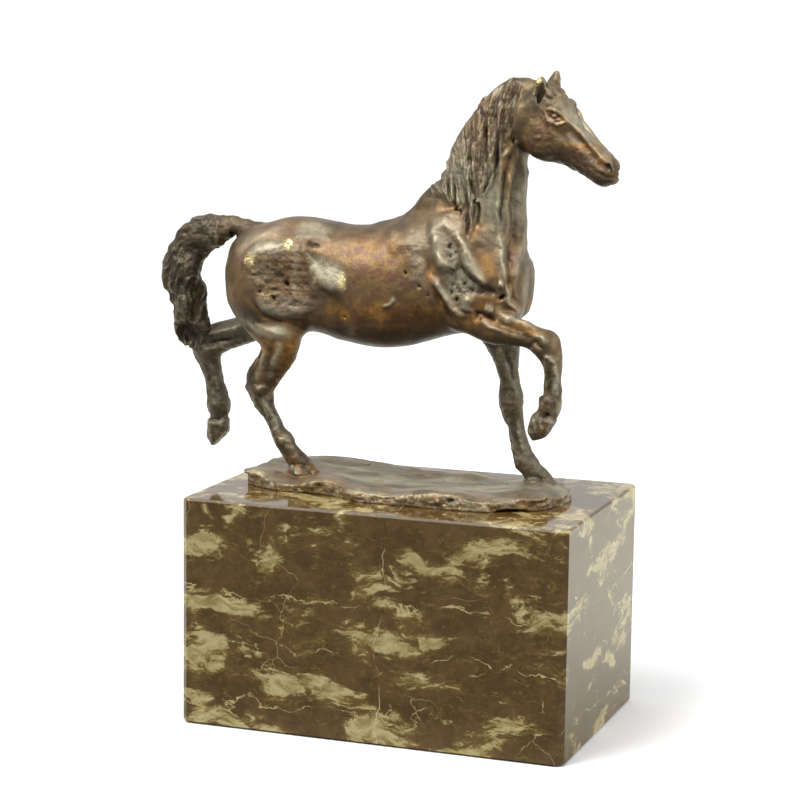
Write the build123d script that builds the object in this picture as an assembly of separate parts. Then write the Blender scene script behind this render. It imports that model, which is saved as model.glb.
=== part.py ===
# Bronze horse statuette on a polished marble plinth, in millimetres.
# The origin is the centre of the felt's underside, +Z is up, the horse faces +X and its left is +Y.
from build123d import *

import os
from math import cos, pi, radians, sin

# Plinth
PLINTH_LENGTH = 180.0
PLINTH_WIDTH = 116.0
PLINTH_TOP = 104.0
FELT = 1.0
FELT_INSET = 3.0
CORNER_CHAMFER = 2.5
TOP_CHAMFER = 1.0

# Ground plate
HOOF_Z = PLINTH_TOP + 7.0

# Studs that hold the ground plate down, with their washers and nuts in counterbores
STUD_DIAMETER = 6.0
STUD_X = {"front": 38.0, "rear": -42.0}
STUD_Y = -4.0
STUD_BITE = 3.5
STUD_BOTTOM = 7.0
STUD_CLEARANCE = 7.0
COUNTERBORE = 22.0
SEAT_Z = 17.0
WASHER_DIAMETER = 18.0
WASHER_THICKNESS = 1.6
WASHER_BORE = 6.4
NUT_ACROSS_FLATS = 10.0
NUT_HEIGHT = 5.0

# Pins under the two standing hooves
PIN_DIAMETER = 3.0
PIN_BITE = 5.0
PIN_PLACES = {"front": (54.6, 9.0), "rear": (-52.6, -9.0)}

# Bronze castings
WALL = 3.0
RING_POINTS = 14
PLUG_DIAMETER = 5.0
PLUG_ROD_LENGTH = 80.0
PLUG_X = (-48.0, 2.0)
PLUG_Z = 199.0
HEAD_TURN = -17.0
HEAD_PIVOT_X = 47.0

# Section shapes: 2 is an ellipse and more is squarer; taper narrows the upper half
TORSO_FULLNESS = 2.2
TORSO_TAPER = 0.08
NECK_FULLNESS = 2.1
NECK_TAPER = 0.25
HEAD_FULLNESS = 2.3

LATERAL = Vector(0, 1, 0)


def oval(centre, up, side, depth, width, fullness=2.0, taper=0.0):
    """A closed section about its centre."""
    points = []
    for step in range(RING_POINTS):
        angle = 2 * pi * step / RING_POINTS
        rise = cos(angle)
        reach = (abs(rise) ** fullness + abs(sin(angle)) ** fullness) ** (-1 / fullness)
        half_width = width / 2 * (1 - taper * rise)
        points.append(centre + up * (depth / 2 * reach * rise) + side * (half_width * reach * sin(angle)))
    return Wire([Edge.make_spline(points, periodic=True)])


def limb(stations, fullness=2.0):
    """A loft along a bent path of (x, y, z, depth, width) stations."""
    centres = [Vector(*station[:3]) for station in stations]
    rings = []
    for index, (centre, station) in enumerate(zip(centres, stations)):
        before = centres[max(index - 1, 0)]
        after = centres[min(index + 1, len(centres) - 1)]
        along = (after - before).normalized()
        side = (LATERAL - along * LATERAL.dot(along)).normalized()
        rings.append(oval(centre, along.cross(side), side, station[3], station[4], fullness))
    return Solid.make_loft(rings)


def slices(stations, fullness=2.0, taper=0.0, turn=0.0, pivot_x=0.0):
    """A loft through sections that each run from one outline point to the other.

    A station is (x, z) of the upper or back point, (x, z) of the lower or front point, and the width.
    The median plane may be turned about a vertical line at pivot_x.
    """
    forward = Vector(cos(radians(turn)), sin(radians(turn)), 0)
    side = Vector(-sin(radians(turn)), cos(radians(turn)), 0)
    pivot = Vector(pivot_x, 0, 0)
    rings = []
    for back_x, back_z, front_x, front_z, width in stations:
        back = pivot + forward * (back_x - pivot_x) + Vector(0, 0, back_z)
        front = pivot + forward * (front_x - pivot_x) + Vector(0, 0, front_z)
        across = back - front
        up = across.normalized()
        rings.append(oval((back + front) / 2, up, side, across.length, width, fullness, taper))
    return Solid.make_loft(rings)


# Torso sections: x, height of the back, height of the belly, width
TORSO = [
    (-90.6, 208, 196, 14),
    (-87.4, 215.5, 187, 30),
    (-81.5, 220.7, 179.5, 41),
    (-73.0, 224, 174, 47),
    (-62.0, 226.5, 173, 49),
    (-50.0, 226.9, 175, 47),
    (-36.0, 225, 172.5, 45),
    (-16.0, 226, 169.6, 48),
    (0.0, 231.2, 172, 46),
    (14.0, 236, 176, 42),
    (28.0, 236, 179, 40),
    (40.0, 228, 182, 37),
    (47.5, 219, 185, 31),
    (52.2, 209, 191, 18),
]


def torso_outside():
    sections = [(x, back, x, belly, width) for x, back, belly, width in TORSO]
    return slices(sections, TORSO_FULLNESS, TORSO_TAPER)


def torso_core():
    """The space that the casting core leaves, one wall inside the skin."""
    sections = [
        (x, back - WALL, x, belly + WALL, width - 2 * WALL) for x, back, belly, width in TORSO[2:-2]
    ]
    return slices(sections, TORSO_FULLNESS, TORSO_TAPER)


def neck_and_head():
    """Neck and mane, with the turned head and its two ears, cast in one."""
    neck = slices(
        [
            (0.5, 225, 49, 197, 30),
            (2.6, 233.2, 51, 211.4, 29),
            (7.0, 242.6, 50.5, 223.3, 25),
            (13.7, 252.5, 50.5, 233.5, 22),
            (17.8, 264.5, 50.4, 243.2, 20),
            (22.9, 273.1, 50.1, 251.1, 18),
            (29.2, 281.2, 50.5, 257.3, 17),
            (39.8, 290.0, 53.9, 259.2, 17),
            (51.5, 291.5, 57.0, 262.0, 14),
        ],
        fullness=NECK_FULLNESS,
        taper=NECK_TAPER,
    )
    head = slices(
        [
            (50.0, 288.0, 50.0, 264.0, 12),
            (60.0, 290.0, 54.5, 259.3, 19),
            (70.5, 285.0, 58.0, 257.3, 20.5),
            (76.6, 275.6, 64.0, 256.6, 19),
            (81.2, 270.4, 70.0, 255.8, 15),
            (86.6, 266.0, 76.5, 253.8, 12.5),
            (91.0, 262.8, 83.3, 250.8, 12),
            (94.2, 260.9, 89.6, 247.2, 12),
            (96.4, 257.6, 93.2, 247.0, 9.5),
            (97.6, 253.5, 95.6, 248.3, 4.5),
        ],
        fullness=HEAD_FULLNESS,
        turn=HEAD_TURN,
        pivot_x=HEAD_PIVOT_X,
    )
    near_ear = limb([(60.0, -7.5, 280.5, 7, 6), (59.6, -8.0, 286.5, 6, 5), (58.9, -8.2, 292.6, 1.5, 1.5)])
    far_ear = limb([(60.0, 2.5, 281.5, 7, 6), (61.0, 3.4, 289, 6, 5), (62.2, 4.0, 295.5, 1.5, 1.5)])
    return neck + head + near_ear + far_ear


def right_foreleg():
    """Raised: the forearm reaches forward and the cannon hangs from the bent knee."""
    return limb(
        [
            (22, -9, 190, 12, 10),
            (30, -11.5, 186, 13.5, 12),
            (39, -13.2, 183, 13.5, 12.5),
            (48, -13.5, 182, 12.6, 11.5),
            (57, -13, 180.1, 10.2, 9.5),
            (65.3, -13, 176.2, 12.2, 10),
            (68.7, -13, 166.5, 7.5, 7.5),
            (68.8, -13, 158, 6.9, 6.8),
            (67.9, -13, 150.5, 8.4, 7.5),
            (65.4, -13, 144, 8.6, 7.5),
            (62.8, -13, 139.8, 8.8, 8.5),
            (60.4, -13, 136.2, 5, 5),
        ]
    )


def left_foreleg():
    """Standing, slanting down and forward to the hoof."""
    return limb(
        [
            (33, 9, 192, 21, 13),
            (37.0, 10, 174.7, 16.3, 12),
            (39.9, 10, 166, 11.8, 9.5),
            (41.6, 10, 156, 9, 8),
            (42.5, 9.8, 147.5, 10, 9),
            (44.8, 9.5, 137.8, 8, 7),
            (47.2, 9.3, 129.5, 7, 6.3),
            (50.0, 9, 120.9, 8.3, 7.8),
            (53.8, 9, 116, 9.2, 8.4),
            (56.6, 9, 111.5, 12.5, 10.5),
            (57.8, 9, 108.0, 13.5, 11.5),
        ]
    )


def right_hind_leg():
    """Standing, with the hock behind the hoof."""
    return limb(
        [
            (-64, -9, 196, 38, 15),
            (-65, -10.5, 182, 35, 17),
            (-63.9, -11, 174.7, 26, 17),
            (-62.8, -11, 167.5, 18.5, 14),
            (-66.5, -10.5, 159.5, 15.2, 11),
            (-72.1, -10, 150.5, 14.2, 9.5),
            (-71.2, -9.6, 143.5, 9.8, 8),
            (-67.9, -9.3, 136.3, 7.2, 6.8),
            (-62.9, -9, 127.4, 7, 6.4),
            (-58.9, -9, 121, 8.4, 7.8),
            (-54.5, -9, 116, 9, 8.2),
            (-52.0, -9, 111.8, 11.7, 10),
            (-51.2, -9, 108, 12.6, 11),
        ]
    )


def left_hind_leg():
    """Raised behind, with the hock level with the stifle."""
    return limb(
        [
            (-68, 9, 188, 26, 15),
            (-78, 10.5, 178.5, 19, 16),
            (-86.5, 10.5, 173.3, 14, 13),
            (-95, 10.3, 170, 13.2, 11),
            (-107, 10, 164.2, 14.8, 10),
            (-106.2, 10, 153, 9.8, 8.5),
            (-104, 10, 144, 9.6, 7.4),
            (-102.6, 10, 137.8, 10.4, 8),
            (-102, 10, 129.5, 8.4, 7.4),
            (-102.3, 10, 123.3, 8.4, 7.8),
            (-103.5, 10, 117.0, 4, 4),
        ]
    )


def tail():
    """Carried high, then falling to the raised hock."""
    return limb(
        [
            (-72, 0, 214, 12, 10),
            (-83, 0, 219.5, 9.6, 9.5),
            (-92.6, 0, 221.3, 9.3, 9),
            (-100.5, 0, 219.3, 14.5, 11),
            (-108.4, 0, 214.6, 17.4, 12),
            (-113.7, 0, 207, 17.8, 13),
            (-116.5, 0.3, 197.5, 18, 13),
            (-114.4, 0.8, 188.5, 15.5, 12),
            (-112.3, 1.5, 180.5, 15, 11.5),
            (-112.9, 2.2, 172, 16.6, 10.5),
            (-113, 2.8, 164, 7, 6),
        ]
    )


# Ground plate sections: x, front and rear edge y, then the height above the plinth at the front
# edge, on the centre line and at the rear edge
GROUND = [
    (-83, 2, 13, 3.0, 4.0, 3.5),
    (-79, -8, 20, 4.8, 5.8, 5.5),
    (-72, -18, 25, 5.2, 6.6, 6.2),
    (-60, -24.5, 28, 4.4, 7.1, 6.8),
    (-50, -27.5, 28.5, 3.4, 7.1, 6.7),
    (-38, -26.5, 28.5, 6.0, 6.2, 6.4),
    (-21, -31.5, 28, 4.2, 4.7, 5.8),
    (-7, -35.5, 27.5, 2.8, 3.8, 4.6),
    (8, -36, 27, 4.4, 4.0, 4.2),
    (22, -35.8, 26.5, 6.0, 4.8, 5.2),
    (38, -35, 25.5, 4.6, 5.6, 3.6),
    (54, -31, 22.5, 5.2, 7.2, 5.2),
    (65, -22.5, 18, 5.6, 7.0, 5.0),
    (70, -13, 12.5, 4.2, 5.2, 4.4),
    (72.5, -6, 6, 3.0, 3.4, 3.0),
]


def ground_section(x, front_y, rear_y, front_rise, middle_rise, rear_rise):
    """Flat underside, upright edges and a gently waved top."""
    corners = [
        Vector(x, front_y, PLINTH_TOP),
        Vector(x, rear_y, PLINTH_TOP),
        Vector(x, rear_y, PLINTH_TOP + rear_rise),
        Vector(x, front_y, PLINTH_TOP + front_rise),
    ]
    crown = Vector(x, (front_y + rear_y) / 2, PLINTH_TOP + middle_rise)
    return Wire(
        [
            Edge.make_line(corners[0], corners[1]),
            Edge.make_line(corners[1], corners[2]),
            Edge.make_spline([corners[2], crown, corners[3]]),
            Edge.make_line(corners[3], corners[0]),
        ]
    )


def ground_plate():
    """Cast slab of uneven ground."""
    return Solid.make_loft([ground_section(*section) for section in GROUND])


def upright(x, y, bottom, top, diameter):
    """A vertical cylinder between two heights."""
    return Pos(x, y, bottom) * Cylinder(
        diameter / 2, top - bottom, align=(Align.CENTER, Align.CENTER, Align.MIN)
    )


def plinth_block():
    """Solid marble, with two bolt holes counterbored from below."""
    block = Pos(0, 0, FELT) * Box(
        PLINTH_LENGTH, PLINTH_WIDTH, PLINTH_TOP - FELT, align=(Align.CENTER, Align.CENTER, Align.MIN)
    )
    block = chamfer(block.edges().filter_by(Axis.Z), CORNER_CHAMFER)
    block = chamfer(block.faces().sort_by(Axis.Z)[-1].edges(), TOP_CHAMFER)
    for x in STUD_X.values():
        block -= upright(x, STUD_Y, FELT, PLINTH_TOP, STUD_CLEARANCE)
        block -= upright(x, STUD_Y, FELT, SEAT_Z, COUNTERBORE)
    return block


def felt_base():
    return Box(
        PLINTH_LENGTH - 2 * FELT_INSET,
        PLINTH_WIDTH - 2 * FELT_INSET,
        FELT,
        align=(Align.CENTER, Align.CENTER, Align.MIN),
    )


def washer(x):
    top = SEAT_Z
    bottom = SEAT_Z - WASHER_THICKNESS
    ring = upright(x, STUD_Y, bottom, top, WASHER_DIAMETER)
    return ring - upright(x, STUD_Y, bottom, top, WASHER_BORE)


def nut(x):
    bottom = SEAT_Z - WASHER_THICKNESS - NUT_HEIGHT
    hexagon = RegularPolygon(NUT_ACROSS_FLATS / 2, 6, major_radius=False)
    body = extrude(Pos(x, STUD_Y, bottom) * hexagon, NUT_HEIGHT)
    return body - upright(x, STUD_Y, bottom, bottom + NUT_HEIGHT, STUD_DIAMETER)


def core_plug_rods():
    """Rods across both flanks, whose meeting with the wall gives the plugs."""
    rear, front = (
        Pos(x, 0, PLUG_Z) * Rot(90, 0, 0) * Cylinder(PLUG_DIAMETER / 2, PLUG_ROD_LENGTH) for x in PLUG_X
    )
    return rear + front


def build_parts():
    skin = torso_outside()
    shell = skin - torso_core()
    rods = core_plug_rods()
    plate = ground_plate()
    under_hooves = plate + Pos(0, 0, PLINTH_TOP / 2) * Box(PLINTH_LENGTH, PLINTH_WIDTH, PLINTH_TOP)
    hind_raised = left_hind_leg() - skin
    neck = neck_and_head() - skin
    fore_raised = right_foreleg() - skin - neck
    fore_standing = left_foreleg() - skin - under_hooves
    hind_standing = right_hind_leg() - skin - under_hooves
    nodes = {
        "plinth_block": plinth_block(),
        "felt_base": felt_base(),
        "torso": shell - rods,
        "core_pin_plugs": shell & rods,
        "neck_and_head": neck,
        "right_foreleg": fore_raised,
        "left_hind_leg": hind_raised,
        "tail": tail() - skin - hind_raised,
    }
    standing = {"front": fore_standing, "rear": hind_standing}
    for end, (x, y) in PIN_PLACES.items():
        pin = upright(x, y, PLINTH_TOP, HOOF_Z + PIN_BITE, PIN_DIAMETER)
        plate -= pin
        standing[end] -= pin
        nodes[f"{end}_hoof_pin"] = pin
    for end, x in STUD_X.items():
        stud = upright(x, STUD_Y, STUD_BOTTOM, PLINTH_TOP + STUD_BITE, STUD_DIAMETER)
        plate -= stud
        nodes[f"{end}_stud"] = stud
        nodes[f"{end}_washer"] = washer(x)
        nodes[f"{end}_nut"] = nut(x)
    nodes["ground_plate"] = plate
    nodes["left_foreleg"] = standing["front"]
    nodes["right_hind_leg"] = standing["rear"]
    return nodes


os.makedirs("parts", exist_ok=True)
for name, shape in build_parts().items():
    export_step(shape, f"parts/{name}.step")
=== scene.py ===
"""Bronze horse on a marble plinth. The CAD nodes fix every size and place; the horse is modelled here as a
clay surface grown from them, cut back into the same castings, and finished with node materials."""

import itertools
import math

import bmesh
import bpy
import numpy as np
import openvdb
from mathutils import Matrix, Vector


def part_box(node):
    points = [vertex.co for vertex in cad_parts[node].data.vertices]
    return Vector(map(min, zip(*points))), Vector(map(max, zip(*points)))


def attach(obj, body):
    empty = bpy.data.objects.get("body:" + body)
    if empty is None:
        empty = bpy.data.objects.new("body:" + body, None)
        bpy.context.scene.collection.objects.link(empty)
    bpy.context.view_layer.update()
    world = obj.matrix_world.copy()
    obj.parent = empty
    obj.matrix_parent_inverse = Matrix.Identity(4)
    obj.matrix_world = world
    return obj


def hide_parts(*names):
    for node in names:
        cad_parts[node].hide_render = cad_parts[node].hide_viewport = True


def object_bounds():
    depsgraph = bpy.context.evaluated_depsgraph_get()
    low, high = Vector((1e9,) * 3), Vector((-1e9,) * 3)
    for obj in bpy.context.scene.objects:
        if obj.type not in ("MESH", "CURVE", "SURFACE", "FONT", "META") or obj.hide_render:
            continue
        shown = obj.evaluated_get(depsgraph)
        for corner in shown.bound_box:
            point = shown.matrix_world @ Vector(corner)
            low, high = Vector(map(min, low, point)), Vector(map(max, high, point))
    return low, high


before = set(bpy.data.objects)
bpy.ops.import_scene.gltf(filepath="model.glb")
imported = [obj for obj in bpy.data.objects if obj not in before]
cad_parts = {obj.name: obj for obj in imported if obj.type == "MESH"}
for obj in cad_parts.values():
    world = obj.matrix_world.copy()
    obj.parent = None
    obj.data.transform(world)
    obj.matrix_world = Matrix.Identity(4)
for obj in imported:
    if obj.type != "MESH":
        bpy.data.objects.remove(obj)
cad_low, cad_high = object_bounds()

MM = 0.001
SPACING = 0.5
BAND = 9.0  # how far from its surface the clay's distance is kept
MARGIN = 4.0  # room for clay outside the castings

# The cast pieces, in the order they are joined, and how softly each joins the clay before it.
BLEND = {
    "torso": 0.0,
    "neck_and_head": 2.0,
    "right_foreleg": 4.0,
    "left_foreleg": 4.0,
    "right_hind_leg": 5.0,
    "left_hind_leg": 5.0,
    "tail": 3.0,
    "ground_plate": 2.0,
}
CASTINGS = tuple(BLEND)

HEAD_TURN = math.radians(-17.0)
HEAD_PIVOT = 47.0


# ---------------------------------------------------------------- frame sizes, in millimetres


def corners(node):
    """The lowest and the highest corner of a CAD node's box."""
    low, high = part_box(node)
    return np.array(low) / MM, np.array(high) / MM


PLINTH_TOP = corners("plinth_block")[1][2]
TORSO_LOW, TORSO_HIGH = corners("torso")


# ---------------------------------------------------------------- noise


def lattice(cell, seed):
    """A fixed pseudo-random value from -1 to 1 for each whole-numbered cell."""
    mixed = cell[0] * 374761393 + cell[1] * 668265263 + cell[2] * 1442695041 + seed * 1013904223
    mixed = (mixed ^ (mixed >> 13)) & 0xFFFFFFFF
    mixed = (mixed * 1274126177) & 0xFFFFFFFF
    return ((mixed ^ (mixed >> 16)) & 0xFFFF) / 32767.5 - 1.0


def noise(points, size, seed):
    """Smooth noise from -1 to 1 whose features are about size across."""
    scaled = points / size
    base = np.floor(scaled).astype(np.int64)
    part = scaled - base
    part = part * part * (3 - 2 * part)
    total = np.zeros(len(points))
    for step_x in (0, 1):
        weight_x = part[:, 0] if step_x else 1 - part[:, 0]
        for step_y in (0, 1):
            weight_y = part[:, 1] if step_y else 1 - part[:, 1]
            for step_z in (0, 1):
                weight_z = part[:, 2] if step_z else 1 - part[:, 2]
                cell = (base[:, 0] + step_x, base[:, 1] + step_y, base[:, 2] + step_z)
                total += weight_x * weight_y * weight_z * lattice(cell, seed)
    return total


def fractal(points, size, seed, octaves=3):
    total = np.zeros(len(points))
    share = 1.0
    for octave in range(octaves):
        total += share * noise(points, size / 2**octave, seed + octave)
        share *= 0.5
    return total / (2 - 2 * share)


def ridged(points, size, seed, octaves=3):
    """Noise with sharp crests, from 0 to 1."""
    total = np.zeros(len(points))
    share = 1.0
    for octave in range(octaves):
        total += share * (1 - np.abs(noise(points, size / 2**octave, seed + octave)))
        share *= 0.5
    return total / (2 - 2 * share)


def ramp(values, start, end):
    """0 below start, 1 above end, smooth between."""
    part = np.clip((values - start) / (end - start), 0, 1)
    return part * part * (3 - 2 * part)


# ---------------------------------------------------------------- clay


def to_head(x, y):
    """Along and across the turned head, from the pivot."""
    along = (x - HEAD_PIVOT) * math.cos(HEAD_TURN) + y * math.sin(HEAD_TURN)
    across = y * math.cos(HEAD_TURN) - (x - HEAD_PIVOT) * math.sin(HEAD_TURN)
    return along, across


def from_head(along, across, z):
    """The place of a point given along and across the turned head."""
    x = HEAD_PIVOT + along * math.cos(HEAD_TURN) - across * math.sin(HEAD_TURN)
    y = along * math.sin(HEAD_TURN) + across * math.cos(HEAD_TURN)
    return np.array((x, y, z))


def ellipsoid(centre, radii, tilt=0.0):
    """Tilt, in degrees, raises the front end."""

    def distance(x, y, z):
        c, s = math.cos(math.radians(tilt)), math.sin(math.radians(tilt))
        dx, dz = x - centre[0], z - centre[2]
        u = (dx * c + dz * s) / radii[0]
        v = (y - centre[1]) / radii[1]
        w = (dz * c - dx * s) / radii[2]
        near = np.sqrt(u * u + v * v + w * w)
        slope = np.sqrt((u / radii[0]) ** 2 + (v / radii[1]) ** 2 + (w / radii[2]) ** 2)
        return near * (near - 1) / np.maximum(slope, 1e-4)

    reach = max(radii)
    return distance, np.array(centre) - reach, np.array(centre) + reach


def rod(stations):
    """A round rod along (x, y, z, radius) stations."""
    places = np.array([station[:3] for station in stations], float)
    radii = [station[3] for station in stations]

    def distance(x, y, z):
        best = None
        for a, b, radius_a, radius_b in zip(places, places[1:], radii, radii[1:]):
            line = b - a
            part = ((x - a[0]) * line[0] + (y - a[1]) * line[1] + (z - a[2]) * line[2]) / (line @ line)
            part = np.clip(part, 0, 1)
            gap = np.sqrt(
                (x - a[0] - part * line[0]) ** 2
                + (y - a[1] - part * line[1]) ** 2
                + (z - a[2] - part * line[2]) ** 2
            )
            gap = gap - (radius_a + part * (radius_b - radius_a))
            best = gap if best is None else np.minimum(best, gap)
        return best

    reach = max(radii)
    return distance, places.min(0) - reach, places.max(0) + reach


def hoof(outline, y, half_width, rounding=1.2):
    """A convex outline in x and z, clockwise seen from the right, with rounded edges."""
    outline = np.array(outline, float)
    middle = outline.mean(0)

    def distance(x, y_, z):
        flat = None
        for a, b in zip(outline, np.roll(outline, -1, 0)):
            normal = np.array((b[1] - a[1], a[0] - b[0]))
            normal /= np.linalg.norm(normal)
            if normal @ (middle - a) > 0:
                normal = -normal
            side = (x - a[0]) * normal[0] + (z - a[1]) * normal[1] + rounding
            flat = side if flat is None else np.maximum(flat, side)
        across = np.abs(y_ - y) - half_width + rounding
        outer = np.sqrt(np.maximum(flat, 0) ** 2 + np.maximum(across, 0) ** 2)
        return outer + np.minimum(np.maximum(flat, across), 0) - rounding

    low = np.array((outline[:, 0].min(), y - half_width, outline[:, 1].min()))
    high = np.array((outline[:, 0].max(), y + half_width, outline[:, 1].max()))
    return distance, low, high


class Clay:
    """Signed distances in millimetres on a regular grid, and which casting each point belongs to."""

    def __init__(self, low, high):
        self.low = np.array(low, float)
        self.shape = tuple(int(math.ceil(side)) + 1 for side in (np.array(high) - self.low) / SPACING)
        self.distance = np.full(self.shape, BAND, np.float32)
        self.owner = np.zeros(self.shape, np.uint8)
        self.work_on("torso")

    def work_on(self, node, turned=False, mirrored=False):
        """New clay belongs to this casting. Turned shapes are given along and across the turned head."""
        self.node, self.turned, self.flip = CASTINGS.index(node), turned, -1.0 if mirrored else 1.0

    def window(self, low, high):
        """Slices that cover a box, and the coordinates there."""
        first = np.floor((np.array(low) - self.low) / SPACING).astype(int)
        last = np.ceil((np.array(high) - self.low) / SPACING).astype(int) + 1
        first = np.clip(first, 0, np.array(self.shape) - 1)
        last = np.clip(last, 1, self.shape)
        slices = tuple(slice(a, b) for a, b in zip(first, last))
        axes = [self.low[i] + SPACING * np.arange(first[i], last[i], dtype=np.float32) for i in range(3)]
        return slices, first, axes[0][:, None, None], axes[1][None, :, None], axes[2][None, None, :]

    def join(self, slices, added, softness):
        now = self.distance[slices]
        self.owner[slices] = np.where(added < now, self.node, self.owner[slices])
        joined = np.minimum(now, added)
        if softness:
            overlap = np.maximum(softness - np.abs(now - added), 0) / softness
            joined = joined - overlap * overlap * softness / 4
        self.distance[slices] = joined

    def add_casting(self, node, softness):
        self.work_on(node)
        points, triangles = casting_surface(node)
        transform = openvdb.createLinearTransform(voxelSize=SPACING)
        grid = openvdb.FloatGrid.createLevelSetFromPolygons(
            (points - self.low).astype(np.float32),
            triangles=triangles.astype(np.uint32),
            transform=transform,
            halfWidth=BAND / SPACING,
        )
        slices, first, x, y, z = self.window(points.min(0) - BAND, points.max(0) + BAND)
        added = np.empty(self.distance[slices].shape, np.float32)
        grid.copyToArray(added, ijk=tuple(int(i) for i in first))
        self.join(slices, added, softness)

    def add(self, shape, softness):
        """Presses clay of this shape on."""
        slices, added = self.sample(shape, softness)
        self.join(slices, added, softness)

    def carve(self, shape, softness):
        """Scrapes this shape away."""
        slices, tool = self.sample(shape, softness)
        now = self.distance[slices]
        overlap = np.maximum(softness - np.abs(now + tool), 0) / softness
        self.distance[slices] = np.maximum(now, -tool) + overlap * overlap * softness / 4

    def soften(self, low, high, radius, passes=2):
        """Wipes the clay smooth inside a box, fading out towards its sides."""
        slices, first, x, y, z = self.window(low, high)
        now = self.distance[slices]
        blurred = now
        reach = max(1, int(round(radius / SPACING)))
        for repeat in range(passes):
            for axis in range(3):
                padded = np.concatenate(
                    [np.repeat(blurred.take([0], axis), reach + 1, axis), blurred]
                    + [np.repeat(blurred.take([-1], axis), reach, axis)],
                    axis,
                )
                summed = np.cumsum(padded, axis, dtype=np.float64)
                count = blurred.shape[axis]
                upper = summed.take(range(2 * reach + 1, 2 * reach + 1 + count), axis)
                blurred = (upper - summed.take(range(count), axis)) / (2 * reach + 1)
        weight = 1.0
        for values, start, end in zip((x, y, z), low, high):
            weight = weight * ramp(1 - np.abs(values - (start + end) / 2) / ((end - start) / 2), 0.0, 0.5)
        self.distance[slices] = now + weight * (blurred - now)

    def sample(self, shape, softness):
        distance, low, high = shape
        reach = softness + 1.0
        ends = [(x, y * self.flip, z) for x, y, z in itertools.product(*zip(low, high))]
        if self.turned:
            ends = [from_head(*end) for end in ends]
        slices, first, x, y, z = self.window(np.min(ends, 0) - reach, np.max(ends, 0) + reach)
        if self.turned:
            x, y = to_head(x, y)
        return slices, distance(x, y * self.flip, z).astype(np.float32)

    def surface(self):
        """The clay's skin as points and quads, with the casting that each point belongs to."""
        grid = openvdb.FloatGrid(BAND)
        grid.transform = openvdb.createLinearTransform(voxelSize=SPACING)
        grid.copyFromArray(self.distance)
        points, quads = grid.convertToQuads(0.0)
        points = points.astype(float)
        quads = quads.astype(np.int64)
        cells = np.clip(np.round(points / SPACING).astype(int), 0, np.array(self.shape) - 1)
        owner = self.owner[cells[:, 0], cells[:, 1], cells[:, 2]]
        points = points + self.low
        if enclosed_volume(points, quads) < 0:
            quads = quads[:, ::-1]
        return points, quads, owner


def casting_surface(node):
    """A CAD node's points, in millimetres, and triangles. The torso's hollow is left out."""
    names = ("torso", "core_pin_plugs") if node == "torso" else (node,)
    all_points, all_triangles, start = [], [], 0
    for name in names:
        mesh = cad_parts[name].data
        mesh.calc_loop_triangles()
        points = np.zeros(len(mesh.vertices) * 3)
        mesh.vertices.foreach_get("co", points)
        triangles = np.zeros(len(mesh.loop_triangles) * 3, np.int64)
        mesh.loop_triangles.foreach_get("vertices", triangles)
        all_points.append(points.reshape(-1, 3) / MM)
        all_triangles.append(triangles.reshape(-1, 3) + start)
        start += len(mesh.vertices)
    points, triangles = np.concatenate(all_points), np.concatenate(all_triangles)
    if node == "torso":
        triangles = triangles[faces_outwards(points, triangles)]
    return points, triangles


def faces_outwards(points, triangles, least=0.3):
    """Which triangles face away from the torso's middle line."""
    a, b, c = (points[triangles[:, i]] for i in range(3))
    normal = np.cross(b - a, c - a)
    normal /= np.maximum(np.linalg.norm(normal, axis=1, keepdims=True), 1e-9)
    centre = (a + b + c) / 3
    inset = (TORSO_HIGH[0] - TORSO_LOW[0]) * 0.15
    middle = centre.copy()
    middle[:, 0] = np.clip(centre[:, 0], TORSO_LOW[0] + inset, TORSO_HIGH[0] - inset)
    middle[:, 1] = 0
    middle[:, 2] = (TORSO_LOW[2] + TORSO_HIGH[2]) / 2
    away = centre - middle
    away /= np.maximum(np.linalg.norm(away, axis=1, keepdims=True), 1e-9)
    return (normal * away).sum(1) > least


def enclosed_volume(points, quads):
    a, b, c, d = (points[quads[:, i]] for i in range(4))
    return ((a * np.cross(b, c)).sum() + (a * np.cross(c, d)).sum()) / 6


# ---------------------------------------------------------------- the horse in clay


def model_body(clay):
    """Breast, quarters and the hollows between them, on both sides."""
    clay.work_on("torso")
    clay.carve(rod([(-95, 0, 206, 2.2), (-89, 0, 192, 3.2), (-80, 0, 176, 3.5)]), 4)
    clay.carve(rod([(56, 0, 214, 1.2), (56.5, 0, 202, 2.4), (54, 0, 188, 2.5)]), 4)
    slope = [(-16, 0, 221.4, 4), (-8.5, 0, 223.4, 4), (-3.6, 0, 225.8, 4), (0, 0, 229.4, 4)]
    slope += [(2.6, 0, 232.2, 4), (5.9, 0, 235.6, 4), (9.2, 0, 239.1, 3.6)]
    clay.add(rod(slope), 5)
    clay.soften((-14, -50, 206), (34, 50, 232), 2.2)
    for side in (-1, 1):
        clay.add(ellipsoid((44.6, side * 8.5, 202), (5.4, 7, 12)), 4)
        clay.add(ellipsoid((-72, side * 14, 196), (13, 7.5, 17), -15), 6)
        clay.carve(ellipsoid((-33, side * 24, 186), (7, 5, 11), 25), 6)
    clay.soften((24, -34, 180), (54, 2, 210), 1.8)


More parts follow.
